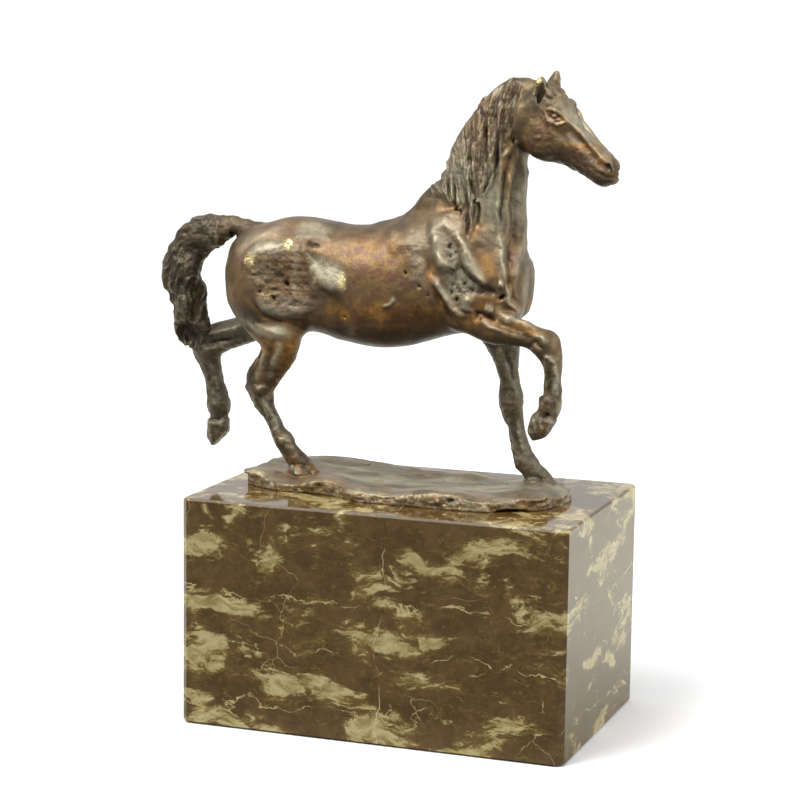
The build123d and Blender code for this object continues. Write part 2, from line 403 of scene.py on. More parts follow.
def model_head(clay):
    """Cheeks, eyes, facial crests, nostrils, mouth and ears, in the turned head's own directions."""
    clay.work_on("neck_and_head", turned=True)
    clay.add(ellipsoid((6, 0.5, 285), (9, 5.5, 6.2)), 2)
    clay.carve(rod([(26.8, 7.6, 288.5, 6), (25.8, 7.3, 284.6, 6)]), 1.5)
    clay.carve(rod([(31.6, 8, 279, 6), (34.6, 7.8, 272.9, 6), (40, 7.6, 268, 6)]), 1.5)
    clay.add(ellipsoid((22, 5.6, 281), (3.4, 3, 2.4)), 2.5)
    clay.carve(ellipsoid((54.6, 2, 259.2), (4.6, 9, 4.2), 20), 2)
    clay.add(ellipsoid((48.4, 0.3, 250.8), (3, 3.8, 2.8)), 1.5)
    clay.add(ellipsoid((30.6, 0, 256), (2.6, 3.6, 2)), 1.5)
    for mirrored in (False, True):
        clay.work_on("neck_and_head", True, mirrored)
        clay.add(ellipsoid((16, -7, 266.8), (9.6, 3.9, 8.6), -25), 1.6)
        clay.add(ellipsoid((17.6, -4.6, 258.9), (3, 2.4, 2)), 1.6)
        clay.carve(ellipsoid((29, -10.2, 268), (5.2, 3, 2.6), -35), 2)
        crest = [(26.2, -6.6, 275, 1), (30.2, -4.8, 273, 1.3), (34.4, -3.9, 269.4, 1.3)]
        crest += [(38.6, -3.4, 265.2, 1.2), (42.2, -3.5, 261.9, 1.2), (45.4, -3.9, 259.3, 1)]
        clay.add(rod(crest), 1.2)
        trough = [(30.2, -7.4, 270.2, 1.2), (37, -6.4, 264.6, 1.4)]
        trough += [(43, -6.2, 259.6, 1.4), (46.4, -6.2, 256, 1.6)]
        clay.carve(rod(trough), 1.6)
        clay.carve(ellipsoid((23.8, -10.2, 276.3), (2.9, 1.9, 2.2)), 1)
        clay.add(ellipsoid((23.8, -8.2, 276.3), (1.35, 1.3, 1.25)), 0.2)
        brow = [(20.4, -8.6, 279.4, 0.7), (23.4, -8.6, 279.3, 0.9)]
        brow += [(26.4, -7.4, 277.4, 0.9), (28.4, -6.2, 274.8, 0.8)]
        clay.add(rod(brow), 0.9)
        lid = [(22, -9.2, 275.4, 0.4), (23.8, -9.2, 274.6, 0.5), (25.9, -8.2, 275, 0.4)]
        clay.add(rod(lid), 0.5)
        fold = [(19, -9.2, 278.2, 0.4), (21.4, -9.6, 274.4, 0.6)]
        fold += [(25.4, -8.9, 272.8, 0.6), (28.6, -6.9, 274, 0.5)]
        clay.add(rod(fold), 0.6)
        clay.carve(ellipsoid((49.2, -4.6, 255.6), (1.9, 2, 2.1), -30), 0.7)
        rim = [(45, -4.2, 258.6, 0.8), (47.4, -3.9, 258.2, 0.8)]
        rim += [(49.4, -2.9, 257.4, 0.8), (50.2, -2.6, 254.8, 0.7)]
        clay.add(rod(rim), 0.9)
        clay.carve(rod([(40.4, -6.4, 256.2, 0.3), (43.4, -6.5, 253.9, 0.6), (48.6, -4.6, 251.2, 0.7)]), 0.7)
        clay.carve(rod([(48.6, -4.6, 251.2, 0.7), (51.4, -1.6, 251.2, 0.6), (52, 0, 251.2, 0.6)]), 0.7)
    clay.work_on("neck_and_head", turned=True)
    near = [(13.4, -4.8, 281, 2.2), (14, -5, 286, 2.7), (14, -5, 290, 2.3), (13.9, -4.9, 292.1, 1.1)]
    far = [(13.4, 7, 283, 2.2), (14, 7.2, 287.5, 2.3), (14.2, 7.5, 291.5, 1.9), (14.1, 7.8, 294.6, 0.9)]
    for ear, outwards in ((near, -1.9), (far, 1.2)):
        clay.add(rod(ear), 1.2)
        opening = [(x + 1.6, y + outwards, z - 0.6, radius * 0.62) for x, y, z, radius in ear]
        clay.carve(rod(opening), 0.5)
    for parting in (
        [(16.5, -3.8, 289.6, 0.7), (19.5, -3.6, 288.2, 0.9), (21.8, -4.2, 285.2, 0.6)],
        [(17.5, -0.8, 290.4, 0.7), (21.4, -0.6, 288.2, 0.9), (23.4, -0.8, 284.8, 0.5)],
        [(15, -6.2, 287.4, 0.5), (18.5, -6.6, 286.6, 0.8), (20.4, -7.2, 283.6, 0.5)],
        [(16.5, 2.6, 290.2, 0.7), (20.4, 2.8, 287.4, 0.9), (22, 3, 284.6, 0.5)],
    ):
        clay.carve(rod(parting), 0.7)
    for curl in ((19.6, -6.6, 285.4), (22.2, -3, 285), (20, -7.4, 281.4), (23, 0.8, 283.6)):
        clay.add(ellipsoid(curl, (1.5, 1.3, 1.9), 20), 0.8)


def model_legs(clay):
    """Joints, tendons and hooves."""
    clay.work_on("right_foreleg")
    clay.add(ellipsoid((65.4, -13, 177), (4.8, 5.2, 5.8), -40), 2.5)
    clay.carve(ellipsoid((62.4, -18.8, 177.2), (3.6, 1.2, 0.9), -35), 1.2)
    clay.add(rod([(67.2, -16.2, 170, 1), (66.8, -16, 158, 0.9), (66.4, -15.8, 150, 1.2)]), 1.6)
    clay.add(ellipsoid((67.4, -13, 149), (4.2, 4.6, 4)), 2)
    clay.add(ellipsoid((64.4, -13, 152.2), (2, 2.6, 2.2)), 1.5)
    raised = [(64.4, 147.2), (60.2, 145.4), (59, 138), (60.9, 134.2), (66.8, 137.4), (69.6, 143.2)]
    clay.add(hoof(raised, -13, 5.2, 2), 2.2)
    clay.carve(ellipsoid((58.2, -13, 141.2), (1.6, 3.4, 4.4), 10), 1)

    clay.work_on("left_foreleg")
    clay.add(ellipsoid((42.3, 9.9, 149), (4.7, 4.9, 6.2)), 2.5)
    clay.add(rod([(41.8, 5.6, 144, 1), (44.8, 5.9, 130, 1), (48.2, 5.2, 119.5, 1.3)]), 1.8)
    clay.add(ellipsoid((50.6, 9, 119.2), (4.8, 4.9, 4.2), -25), 2)
    clay.add(ellipsoid((57.4, 9, 109.6), (6.8, 5.8, 3), -12), 2)

    clay.work_on("right_hind_leg")
    clay.add(rod([(-77.8, -10, 148.6, 1.5), (-74.6, -10, 156, 1.1), (-70.6, -10.5, 166, 1.2)]), 1.4)
    clay.add(ellipsoid((-72.4, -14.2, 147.8), (3, 1.6, 2.6)), 1.4)
    clay.add(rod([(-70.6, -13, 146, 1.1), (-66.6, -12.4, 134, 1), (-61.8, -12.2, 124.5, 1.4)]), 1.8)
    clay.add(ellipsoid((-60.4, -9, 124), (3, 4.2, 3.8), -40), 2)
    clay.add(ellipsoid((-50.8, -9, 110), (6.8, 6.2, 3.2), -12), 2)

    clay.work_on("left_hind_leg")
    clay.add(ellipsoid((-108.5, 10, 164), (6.8, 5.8, 6.4), -10), 2.5)
    clay.add(rod([(-107.4, 6.4, 158, 1), (-104.2, 6.6, 146, 1), (-102.8, 6.4, 137, 1.2)]), 1.8)
    clay.add(ellipsoid((-102.6, 10, 135.4), (5, 4.9, 4.6)), 2)
    raised = [(-106.4, 128.2), (-106.2, 120.4), (-104.4, 115.8), (-98.2, 122.4), (-97.8, 128.6)]
    clay.add(hoof(raised, 10, 4.4, 2), 2.4)
    sole = [(-107.2, 112.8), (-97.2, 123.9), (-90, 124), (-90, 108), (-107.2, 108)]
    clay.carve(hoof(sole, 10, 9), 0.8)


def model_tail(clay):
    """Knots of hair along the tail's outline."""
    clay.work_on("tail")
    knots = [
        (-93, -1, 218.5, 3.6, 3),
        (-99, -3, 216.5, 5, 4.2),
        (-107, 2.5, 213.5, 6, 5.4),
        (-117.2, 1, 204.5, 4.8, 4.6),
        (-121, -1.5, 196.5, 4.2, 5.4),
        (-110.5, -4, 200, 4.6, 7),
        (-118, 2, 188, 4, 5),
        (-110.4, 3, 189.6, 3.6, 5.4),
        (-115.6, 0, 178.5, 3.8, 4.6),
        (-113, -3, 183, 4, 6),
    ]
    for x, y, z, length, height in knots:
        clay.add(ellipsoid((x, y, z), (length, 4.2, height)), 2.5)
    clay.carve(ellipsoid((-111, -3.6, 168.6), (11, 8.6, 7.6)), 1.5)


def model_plate(clay):
    """Lumps on the cast ground, and the spike of sprue behind the front hoof."""
    lumps = [
        (-70, -14, 6.2, 9, 5, 1.6),
        (-36, -22, 5.2, 10, 5, 1.8),
        (-12, -30, 3.4, 12, 5, 1.6),
        (24, -31, 5.2, 14, 4, 1.6),
        (60, -20, 5.6, 9, 7, 1.8),
        (10, 20, 4, 16, 6, 1.6),
        (-44, 22, 6, 12, 6, 1.4),
    ]
    for x, y, rise, length, width, height in lumps:
        clay.add(ellipsoid((x, y, PLINTH_TOP + rise), (length, width, height)), 3)
    clay.add(rod([(45, 0, PLINTH_TOP + 5.5, 0.6), (44.6, 0, PLINTH_TOP + 7.6, 0.3)]), 1)
    clay.carve(ellipsoid((-44, -31, PLINTH_TOP + 1.2), (12, 5, 2)), 1.5)
    rear = corners("ground_plate")[0][0]
    under, over = PLINTH_TOP - 3, PLINTH_TOP + 11
    beyond = [(rear - 8, under), (rear - 8, over), (rear + 4.4, over), (rear + 4.4, under)]
    clay.carve(hoof(beyond, -6, 60), 4)
    clay.carve(ellipsoid((58, -29, PLINTH_TOP + 0.2), (14, 4, 1.2)), 0.8)


def model_horse():
    """The castings joined as clay, and everything that is added to them or carved away."""
    low = np.min([corners(node)[0] for node in CASTINGS], 0) - MARGIN
    high = np.max([corners(node)[1] for node in CASTINGS], 0) + MARGIN
    clay = Clay(low, high)
    for node in CASTINGS[:-1]:
        clay.add_casting(node, BLEND[node])
    model_body(clay)
    model_head(clay)
    model_legs(clay)
    model_tail(clay)
    clay.add_casting("ground_plate", BLEND["ground_plate"])
    model_plate(clay)
    return clay.surface()


# ---------------------------------------------------------------- surface relief


def vertex_normals(points, quads):
    a, b, c, d = (points[quads[:, i]] for i in range(4))
    face = np.cross(c - a, d - b)
    total = np.zeros_like(points)
    for corner in range(4):
        for axis in range(3):
            total[:, axis] += np.bincount(quads[:, corner], face[:, axis], len(points))
    return total / np.maximum(np.linalg.norm(total, axis=1, keepdims=True), 1e-12)


class Skin:
    """The clay's skin while tools mark it: where it is, and what colours it takes."""

    def __init__(self, points, quads, owner):
        self.points, self.quads, self.owner = points, quads, owner
        self.normals = vertex_normals(points, quads)
        self.lift = np.zeros(len(points))
        drift = np.column_stack([fractal(points, 6, seed, 2) for seed in (101, 107)])
        self.wander = points[:, (0, 2)] + drift * 0.9
        self.uneven = 1.1 + 0.4 * noise(points, 5, 109)
        self.patchy = 2.0 * noise(points, 4, 113)
        fields = ("gold", "red", "dark", "pale", "rough", "brass_and_glint", "hair", "strand")
        self.paint = {name: np.zeros(len(points)) for name in fields}
        ends = [(quads[:, i], quads[:, (i + 1) % 4]) for i in range(4)]
        self.tail_ends = np.concatenate([pair[0] for pair in ends])
        self.head_ends = np.concatenate([pair[1] for pair in ends])
        self.count = np.bincount(self.tail_ends, minlength=len(points))

    def spread(self, values):
        """Each point's value averaged over its neighbours."""
        total = np.bincount(self.tail_ends, values[self.head_ends], len(self.points))
        return total / np.maximum(self.count, 1)

    def apply(self):
        """Moves the points out by what the tools have lifted so far."""
        self.points = self.points + self.normals * self.lift[:, None]
        self.normals = vertex_normals(self.points, self.quads)
        self.lift = np.zeros(len(self.points))

    def tint(self, name, amount):
        """Paints a colour on, where it isn't stronger already."""
        self.paint[name] = np.maximum(self.paint[name], amount)

    def of(self, *nodes):
        return np.isin(self.owner, [CASTINGS.index(node) for node in nodes]).astype(float)

    def side(self, sign, floor=0, full=0.45):
        """1 where the surface faces that side of the horse."""
        return ramp(sign * self.normals[:, 1], floor, full)

    def patches(self, size, seed, start, end):
        """1 in noise's high patches and 0 in its low ones."""
        return ramp(noise(self.points, size, seed), start, end)

    def flat(self, first=0, second=2):
        return self.points[:, (first, second)]


def body_side(skin, sign, floor, full):
    """1 where the body, the neck and that side's legs face that side of the horse."""
    hand = "right" if sign < 0 else "left"
    legs = f"{hand}_hind_leg", f"{hand}_foreleg"
    return skin.side(sign, floor, full) * skin.of("torso", "neck_and_head", *legs)


def line_gap(flat, line):
    """Distance from a line of points, and how far along it, from 0 to 1."""
    line = np.array(line, float)
    lengths = np.linalg.norm(np.diff(line, axis=0), axis=1)
    starts = np.concatenate(([0], np.cumsum(lengths)))
    best = np.full(len(flat), 1e9)
    along = np.zeros(len(flat))
    for index, (a, b) in enumerate(zip(line, line[1:])):
        step = b - a
        part = np.clip(((flat - a) @ step) / (step @ step), 0, 1)
        gap = np.linalg.norm(flat - a - part[:, None] * step, axis=1)
        closer = gap < best
        best = np.where(closer, gap, best)
        along = np.where(closer, (starts[index] + part * lengths[index]) / starts[-1], along)
    return best, along


def stroke(skin, where, line, width, height, broken=0.3, **colours):
    """A ridge, or a groove where height is negative: uneven, wandering, and fading towards both ends."""
    gap, along = line_gap(skin.wander, line)
    fade = ramp(along, -0.05, 0.25) * ramp(1 - along, -0.05, 0.25)
    profile = where * fade * np.exp(-((gap / (width * skin.uneven)) ** 2))
    skin.lift += height * profile * (1 + broken * skin.patchy)
    for name, strength in colours.items():
        skin.tint(name, strength * profile)


def dab(skin, where, name, spots, flat=None):
    """Paint in soft ovals: x, z, length, height, strength."""
    flat = skin.wander if flat is None else flat
    for x, z, length, height, strength in spots:
        gap = ((flat[:, 0] - x) / length) ** 2 + ((flat[:, 1] - z) / height) ** 2
        skin.tint(name, where * strength * np.exp(-gap))


def inside(flat, outline, softness):
    """1 well inside an outline, 0 outside it."""
    outline = np.array(outline, float)
    gap, along = line_gap(flat, np.vstack((outline, outline[:1])))
    within = np.zeros(len(flat), bool)
    for a, b in zip(outline, np.roll(outline, -1, 0)):
        spans = (a[1] > flat[:, 1]) != (b[1] > flat[:, 1])
        slope = (b[0] - a[0]) / (b[1] - a[1] + 1e-9)
        within ^= spans & (flat[:, 0] < a[0] + slope * (flat[:, 1] - a[1]))
    return ramp(np.where(within, gap, -gap), -softness / 2, softness)


def facet(skin, where, outline, depth, flatness=0.8, softness=2.5, lean=0):
    """Presses an outline towards a plane, depth below the surface's own average there.

    Lean turns the plane to face upwards."""
    weight = inside(skin.wander, outline, softness) * where
    chosen = weight > 0.5
    if chosen.sum() < 12:
        return weight
    columns = np.column_stack((skin.points[chosen][:, (0, 2)], np.ones(chosen.sum())))
    plane = np.linalg.lstsq(columns, skin.points[chosen][:, 1], rcond=None)[0]
    target = skin.points[:, 0] * plane[0] + skin.points[:, 2] * plane[1] + plane[2]
    outwards = np.sign(skin.normals[:, 1])
    rise = (target - skin.points[:, 1]) * outwards
    middle = skin.points[chosen][:, 2].mean()
    tilt = lean * (middle - skin.points[:, 2])
    skin.lift += weight * (flatness * np.clip(rise, -3, 3) - depth + tilt)
    return weight


HAUNCH = [
    (-75.8, 207), (-68.2, 211.9), (-57.3, 215.2), (-48.8, 215.4), (-43.5, 212.7), (-41.7, 206.1),
    (-40.3, 197.6), (-42.7, 187.7), (-50.1, 183.6), (-60.3, 184.9), (-67.9, 191), (-73.9, 199.4),
]
CROUP = [(-54.4, 223.6), (-52.6, 226.4), (-43.4, 226), (-38.4, 223.3), (-37, 219.4), (-51.5, 218.7)]
FLANK = [
    (-45.3, 212.7), (-38, 211.7), (-30.2, 209.1), (-25.5, 205.6), (-26.3, 197.5), (-32.9, 195.8),
    (-37.6, 197.7), (-40.5, 201.9), (-43.7, 207.7),
]
BEHIND_SHOULDER = [
    (2.5, 224.7), (9.6, 222.6), (10.8, 214.4), (13, 208.6), (11.4, 200), (5.4, 202.4), (2.7, 214.9),
]
BLADE_HOLLOW = [(19, 221.4), (23.6, 221.4), (26, 214), (25.6, 207), (21.8, 208), (19.6, 215)]
ARM_HOLLOW = [
    (21.6, 206.3), (26.8, 211.8), (31.6, 207), (34.4, 203), (34.9, 198.4), (30.5, 197.4), (26.4, 194.6),
    (22.9, 198.8),
]
BREAST = [(29.8, 217.6), (33.5, 221), (42.4, 218), (45, 205.5), (38.3, 204), (33.2, 210.2)]

# The last column sets how strongly each ridge is painted pale: a painted highlight along the ridge.
RIGHT_RIDGES = (
    (
        "haunch, lower lip",
        [(-68.4, 191.9), (-64.5, 187.2), (-58.6, 184.3), (-50.1, 183.4), (-42.7, 187.7)],
        2, 0.8, 0.9,
    ),
    ("haunch, upper rim", [(-74.5, 208.8), (-69.6, 212.9), (-62.2, 214.9), (-55.4, 216.1)], 1.9, 0.9, 0.9),
    ("haunch, middle", [(-50.5, 216.7), (-49.9, 208.3), (-50.4, 199.7), (-51.8, 185.4)], 1.5, 0.5, 0.4),
    ("haunch, front", [(-42.9, 208.6), (-40.9, 200.1), (-41.4, 191.4)], 1.4, 0.6, 0.3),
    ("croup", [(-82, 209.1), (-76.2, 216.2), (-64.9, 221.7), (-55.5, 225.3)], 2.2, 0.7, 0.4),
    (
        "thigh",
        [(-74.4, 182.2), (-70.5, 178), (-63.1, 176.3), (-57.9, 175.2), (-53.5, 173.4)],
        2.2, 1.5, 1,
    ),
    ("stifle", [(-41.6, 186.6), (-37.4, 193.5), (-33.4, 187.5)], 1.5, 0.4, 0.2),
    ("belly scratch", [(-8.6, 190.8), (-5.2, 191.8), (-1.8, 195.4)], 0.8, 0.7, 0.7),
    (
        "blade, rear",
        [(13.1, 223.6), (15.4, 220.4), (17.1, 216.3), (18.9, 211.4), (21.4, 206.6)],
        2.4, 2.2, 1,
    ),
    (
        "blade, top",
        [(11.5, 219.2), (13.7, 225.2), (17.9, 227.4), (23.2, 225.2), (27.4, 221.2)],
        2.6, 1.3, 0.6,
    ),
    (
        "blade, front",
        [(23, 224), (27.6, 219), (29.2, 213.9), (32.3, 209), (36.6, 203.8), (40.1, 201.2)],
        1.8, 2.4, 0.9,
    ),
    (
        "arm, rear",
        [(13.4, 206.4), (17.5, 200.7), (20.9, 196.1), (24.8, 191), (29.2, 186.3)],
        1.6, 2.1, 0.9,
    ),
    ("arm, below", [(31, 198), (30.2, 193.5), (29.4, 189.2)], 2.5, 1.5, 1),
    ("breast, front", [(42.9, 224), (43.9, 217), (45.1, 211.3), (46.7, 203.6)], 1.4, 1.8, 0.9),
    ("breast, knob", [(43.9, 202.9), (46.2, 202.6)], 1.7, 1.6, 0.9),
    ("withers", [(9, 228), (15.3, 231), (23.6, 230.6), (31.5, 225.6)], 2.2, 0.8, 0.2),
    ("elbow", [(38.2, 191.6), (42.4, 191)], 1.9, 1.4, 0.9),
    (
        "forearm, upper",
        [(42.9, 196), (44.1, 189.9), (48.7, 187.8), (55.1, 185.6), (64, 183.1)],
        1.3, 1.1, 0.4,
    ),
    ("forearm, lower", [(35.5, 187.2), (41.5, 183.8), (49.3, 182.2), (58.1, 179.5)], 1.2, 0.8, 0.4),
    ("breastbone", [(47.8, 203.1), (48.1, 195.3), (50.9, 187.6)], 1.2, 1.2, 0.5),
    ("throat edge", [(50.2, 224.7), (50.6, 212.7), (50.4, 203.3)], 1, 1.2, 0.4),
    ("far breast", [(54.4, 214.7), (56, 206.7), (54.6, 194.3)], 1.4, 1, 0.6),
)
RIGHT_ONLY = ("belly scratch", "elbow", "breast, knob")
LEFT_TOO = 7  # how many of the grooves the left side has as well
# A groove painted dark holds painted shade, such as the shadow below the breast; gold and red are the
# patina's own colours.
RIGHT_GROOVES = (
    (
        "below the haunch",
        [(-72.1, 191.1), (-66.3, 182.9), (-58.7, 180.6), (-49.9, 180.6), (-42, 184.9)],
        1.9, -1.1, "gold", 0.9,
    ),
    ("hip", [(-46.3, 217.2), (-43.4, 216), (-39.2, 215.7)], 0.8, -0.9, "dark", 0.8),
    ("buttock", [(-80, 181), (-74, 176), (-66, 172.4), (-60, 171.6)], 1.8, -0.8, "dark", 0.3),
    ("flank", [(-44, 181), (-36, 180.2), (-24, 178)], 3.2, -0.9, "dark", 0.4),
    ("behind the shoulder", [(-18, 222), (-6, 217), (2, 211)], 5, -0.5, "red", 0.3),
    (
        "shoulder's rear edge",
        [(11.5, 217.3), (13, 208.6), (15.8, 200.6), (19.2, 191.5), (24.6, 181)],
        1.9, -1.5, "gold", 0.9,
    ),
    ("below the blade", [(23, 209), (24.4, 204.4), (24.9, 199.8)], 1.2, -1, "dark", 0.4),
    ("behind the blade's front", [(28, 211.6), (32, 205.2), (36, 200.6)], 1.3, -1.3, "dark", 0.4),
    ("below the breast", [(33.9, 199.4), (38.4, 200.4), (43.8, 199)], 2, -2.2, "dark", 0.8),
    ("breast pit", [(44.8, 198), (46, 196)], 1.5, -2.2, "dark", 0.9),
    ("elbow rim", [(34.3, 186.2), (35, 189.5), (38.9, 189.2), (43.9, 187.7)], 0.9, -2, "dark", 0.9),
    (
        "beside the breastbone",
        [(46.6, 224.4), (48.2, 215.1), (49.2, 203.7), (49.8, 191.7)],
        1.3, -1.6, "red", 0.9,
    ),
    ("far breast", [(52.4, 216.7), (52.6, 206.7), (52, 196.3)], 1.1, -1.3, "dark", 0.7),
    ("forearm", [(42.5, 186.9), (49.3, 185), (57.1, 182.6)], 1.3, -1, "dark", 0.5),
    ("under the withers", [(12, 234), (20, 235.4), (28, 232.6)], 2.4, -0.9, "gold", 0.4),
)
RIGHT_PITS = (
    (-54.5, 198.7, 0.7), (-60.8, 191.1, 1), (2.3, 205.6, 0.6), (8.9, 200.3, 1), (12.4, 196.4, 0.6),
    (23.2, 198.2, 0.8), (25.6, 194.8, 0.8), (21, 218.6, 0.8), (24, 215.6, 0.7), (-27.4, 184, 0.5),
    (-67, 193.6, 0.6), (28.6, 202.6, 0.7), (36.2, 187.6, 0.8),
)


def fill(skin, where, name, outline, softness, strength):
    """Paint inside an outline."""
    weight = where * strength * inside(skin.wander, outline, softness)
    skin.tint(name, weight)
    return weight


def hatching(skin):
    """Fine raked lines, sloping down to the front."""
    lines = np.column_stack((
        skin.points[:, 0] * 0.5 + skin.points[:, 2] * 0.87,
        (skin.points[:, 0] * 0.87 - skin.points[:, 2] * 0.5) * 0.22,
        skin.points[:, 1] * 0.2,
    ))
    return (ridged(lines, 2.3, 191, 2) - 0.62) * skin.patches(8, 197, -0.5, 0.4)


def mark_body_right(skin):
    """Tool marks on the right of the body, from the quarters to the breast."""
    right = body_side(skin, -1, 0, 0.4)
    hollow = facet(skin, right, HAUNCH, 0.7, 0.7, 4)
    bowl = np.exp(-(((skin.wander[:, 0] + 56) / 15) ** 2) - (((skin.wander[:, 1] - 198) / 11) ** 2))
    skin.lift -= right * bowl * 1.8
    skin.lift += hollow * (hatching(skin) * 0.45 + (ridged(skin.points, 6.5, 193, 2) - 0.6) * 1.2)
    facet(skin, right, CROUP, 0.1, 0.8, 3, 0.18)
    facet(skin, right, FLANK, 0.3, 0.7, 4, 0.16)
    facet(skin, right, BREAST, 0.4, 0.7, 2.5, 0.1)
    # The pale facets are grey, partly patina and partly a painted sheen.
    for name, outline, softness, strength in (
        ("pale", CROUP, 4, 0.8),
        ("pale", FLANK, 3.5, 1),
        ("pale", BEHIND_SHOULDER, 5, 0.45),
        ("gold", BREAST, 6, 0.65),
        ("rough", BEHIND_SHOULDER, 5, 0.55),
        ("red", HAUNCH, 4, 0.6),
        ("rough", HAUNCH, 5, 0.65),
    ):
        fill(skin, right, name, outline, softness, strength)
    for outline, depth in ((BLADE_HOLLOW, 0.9), (ARM_HOLLOW, 1.7)):
        weight = fill(skin, right, "rough", outline, 2.5, 1)
        skin.lift -= weight * depth
        # Grey in the rough hollows: partly patina, partly a painted sheen.
        skin.tint("pale", weight * 0.85)
    # Ridges painted pale: painted highlights.
    for place, line, width, height, pale in RIGHT_RIDGES:
        stroke(skin, right, line, width, height, 0.15, pale=pale)
    # Grooves painted dark: painted shade.
    for place, line, width, height, name, strength in RIGHT_GROOVES:
        stroke(skin, right, line, width, height, 0.3, **{name: strength})
    for x, z, width in RIGHT_PITS:
        stroke(skin, right, [(x - width, z), (x + width, z + 0.3)], width, -1.5)


def mark_body_left(skin):
    """The quieter modelling of the left side, from most of the right's ridges and grooves."""
    left = body_side(skin, 1, 0, 0.4)
    hollow = facet(skin, left, [(x + 1.5, z - 1) for x, z in HAUNCH], 0.6, 0.6, 4)
    skin.lift += hollow * hatching(skin) * 1.0
    facet(skin, left, [(-24, 214), (-8, 215), (-2, 203), (-12, 194), (-26, 198)], 0.2, 0.8, 4)
    facet(skin, left, [(x + 1, z) for x, z in BREAST], 0.3, 0.6, 3)
    # Pale ridges are painted highlights and dark grooves painted shade, as on the right.
    ridges = [(*ridge[1:4], "pale", ridge[4]) for ridge in RIGHT_RIDGES if ridge[0] not in RIGHT_ONLY]
    for line, width, height, name, strength in ridges + [groove[1:] for groove in RIGHT_GROOVES[:LEFT_TOO]]:
        moved = [(x + 1, z - 0.5 - 0.04 * x) for x, z in line]
        stroke(skin, left, moved, width * 1.2, height * 0.6, 0.4, **{name: strength * 0.7})
    weight = fill(skin, left, "rough", [(x - 1, z - 1.5) for x, z in ARM_HOLLOW], 4, 0.8)
    skin.lift -= weight * 0.7
    skin.tint("rough", hollow * 0.4)


MANE = [
    (52, 290), (50.5, 274), (46.9, 266), (39.8, 251), (35.7, 240.5), (33.5, 233.2), (29.6, 222.6),
    (24.7, 231), (21.7, 234.2), (14.4, 239.6), (8, 240.4), (4, 246), (14, 272), (34, 296),
]
MANE_ROOT = (32.1, 206)


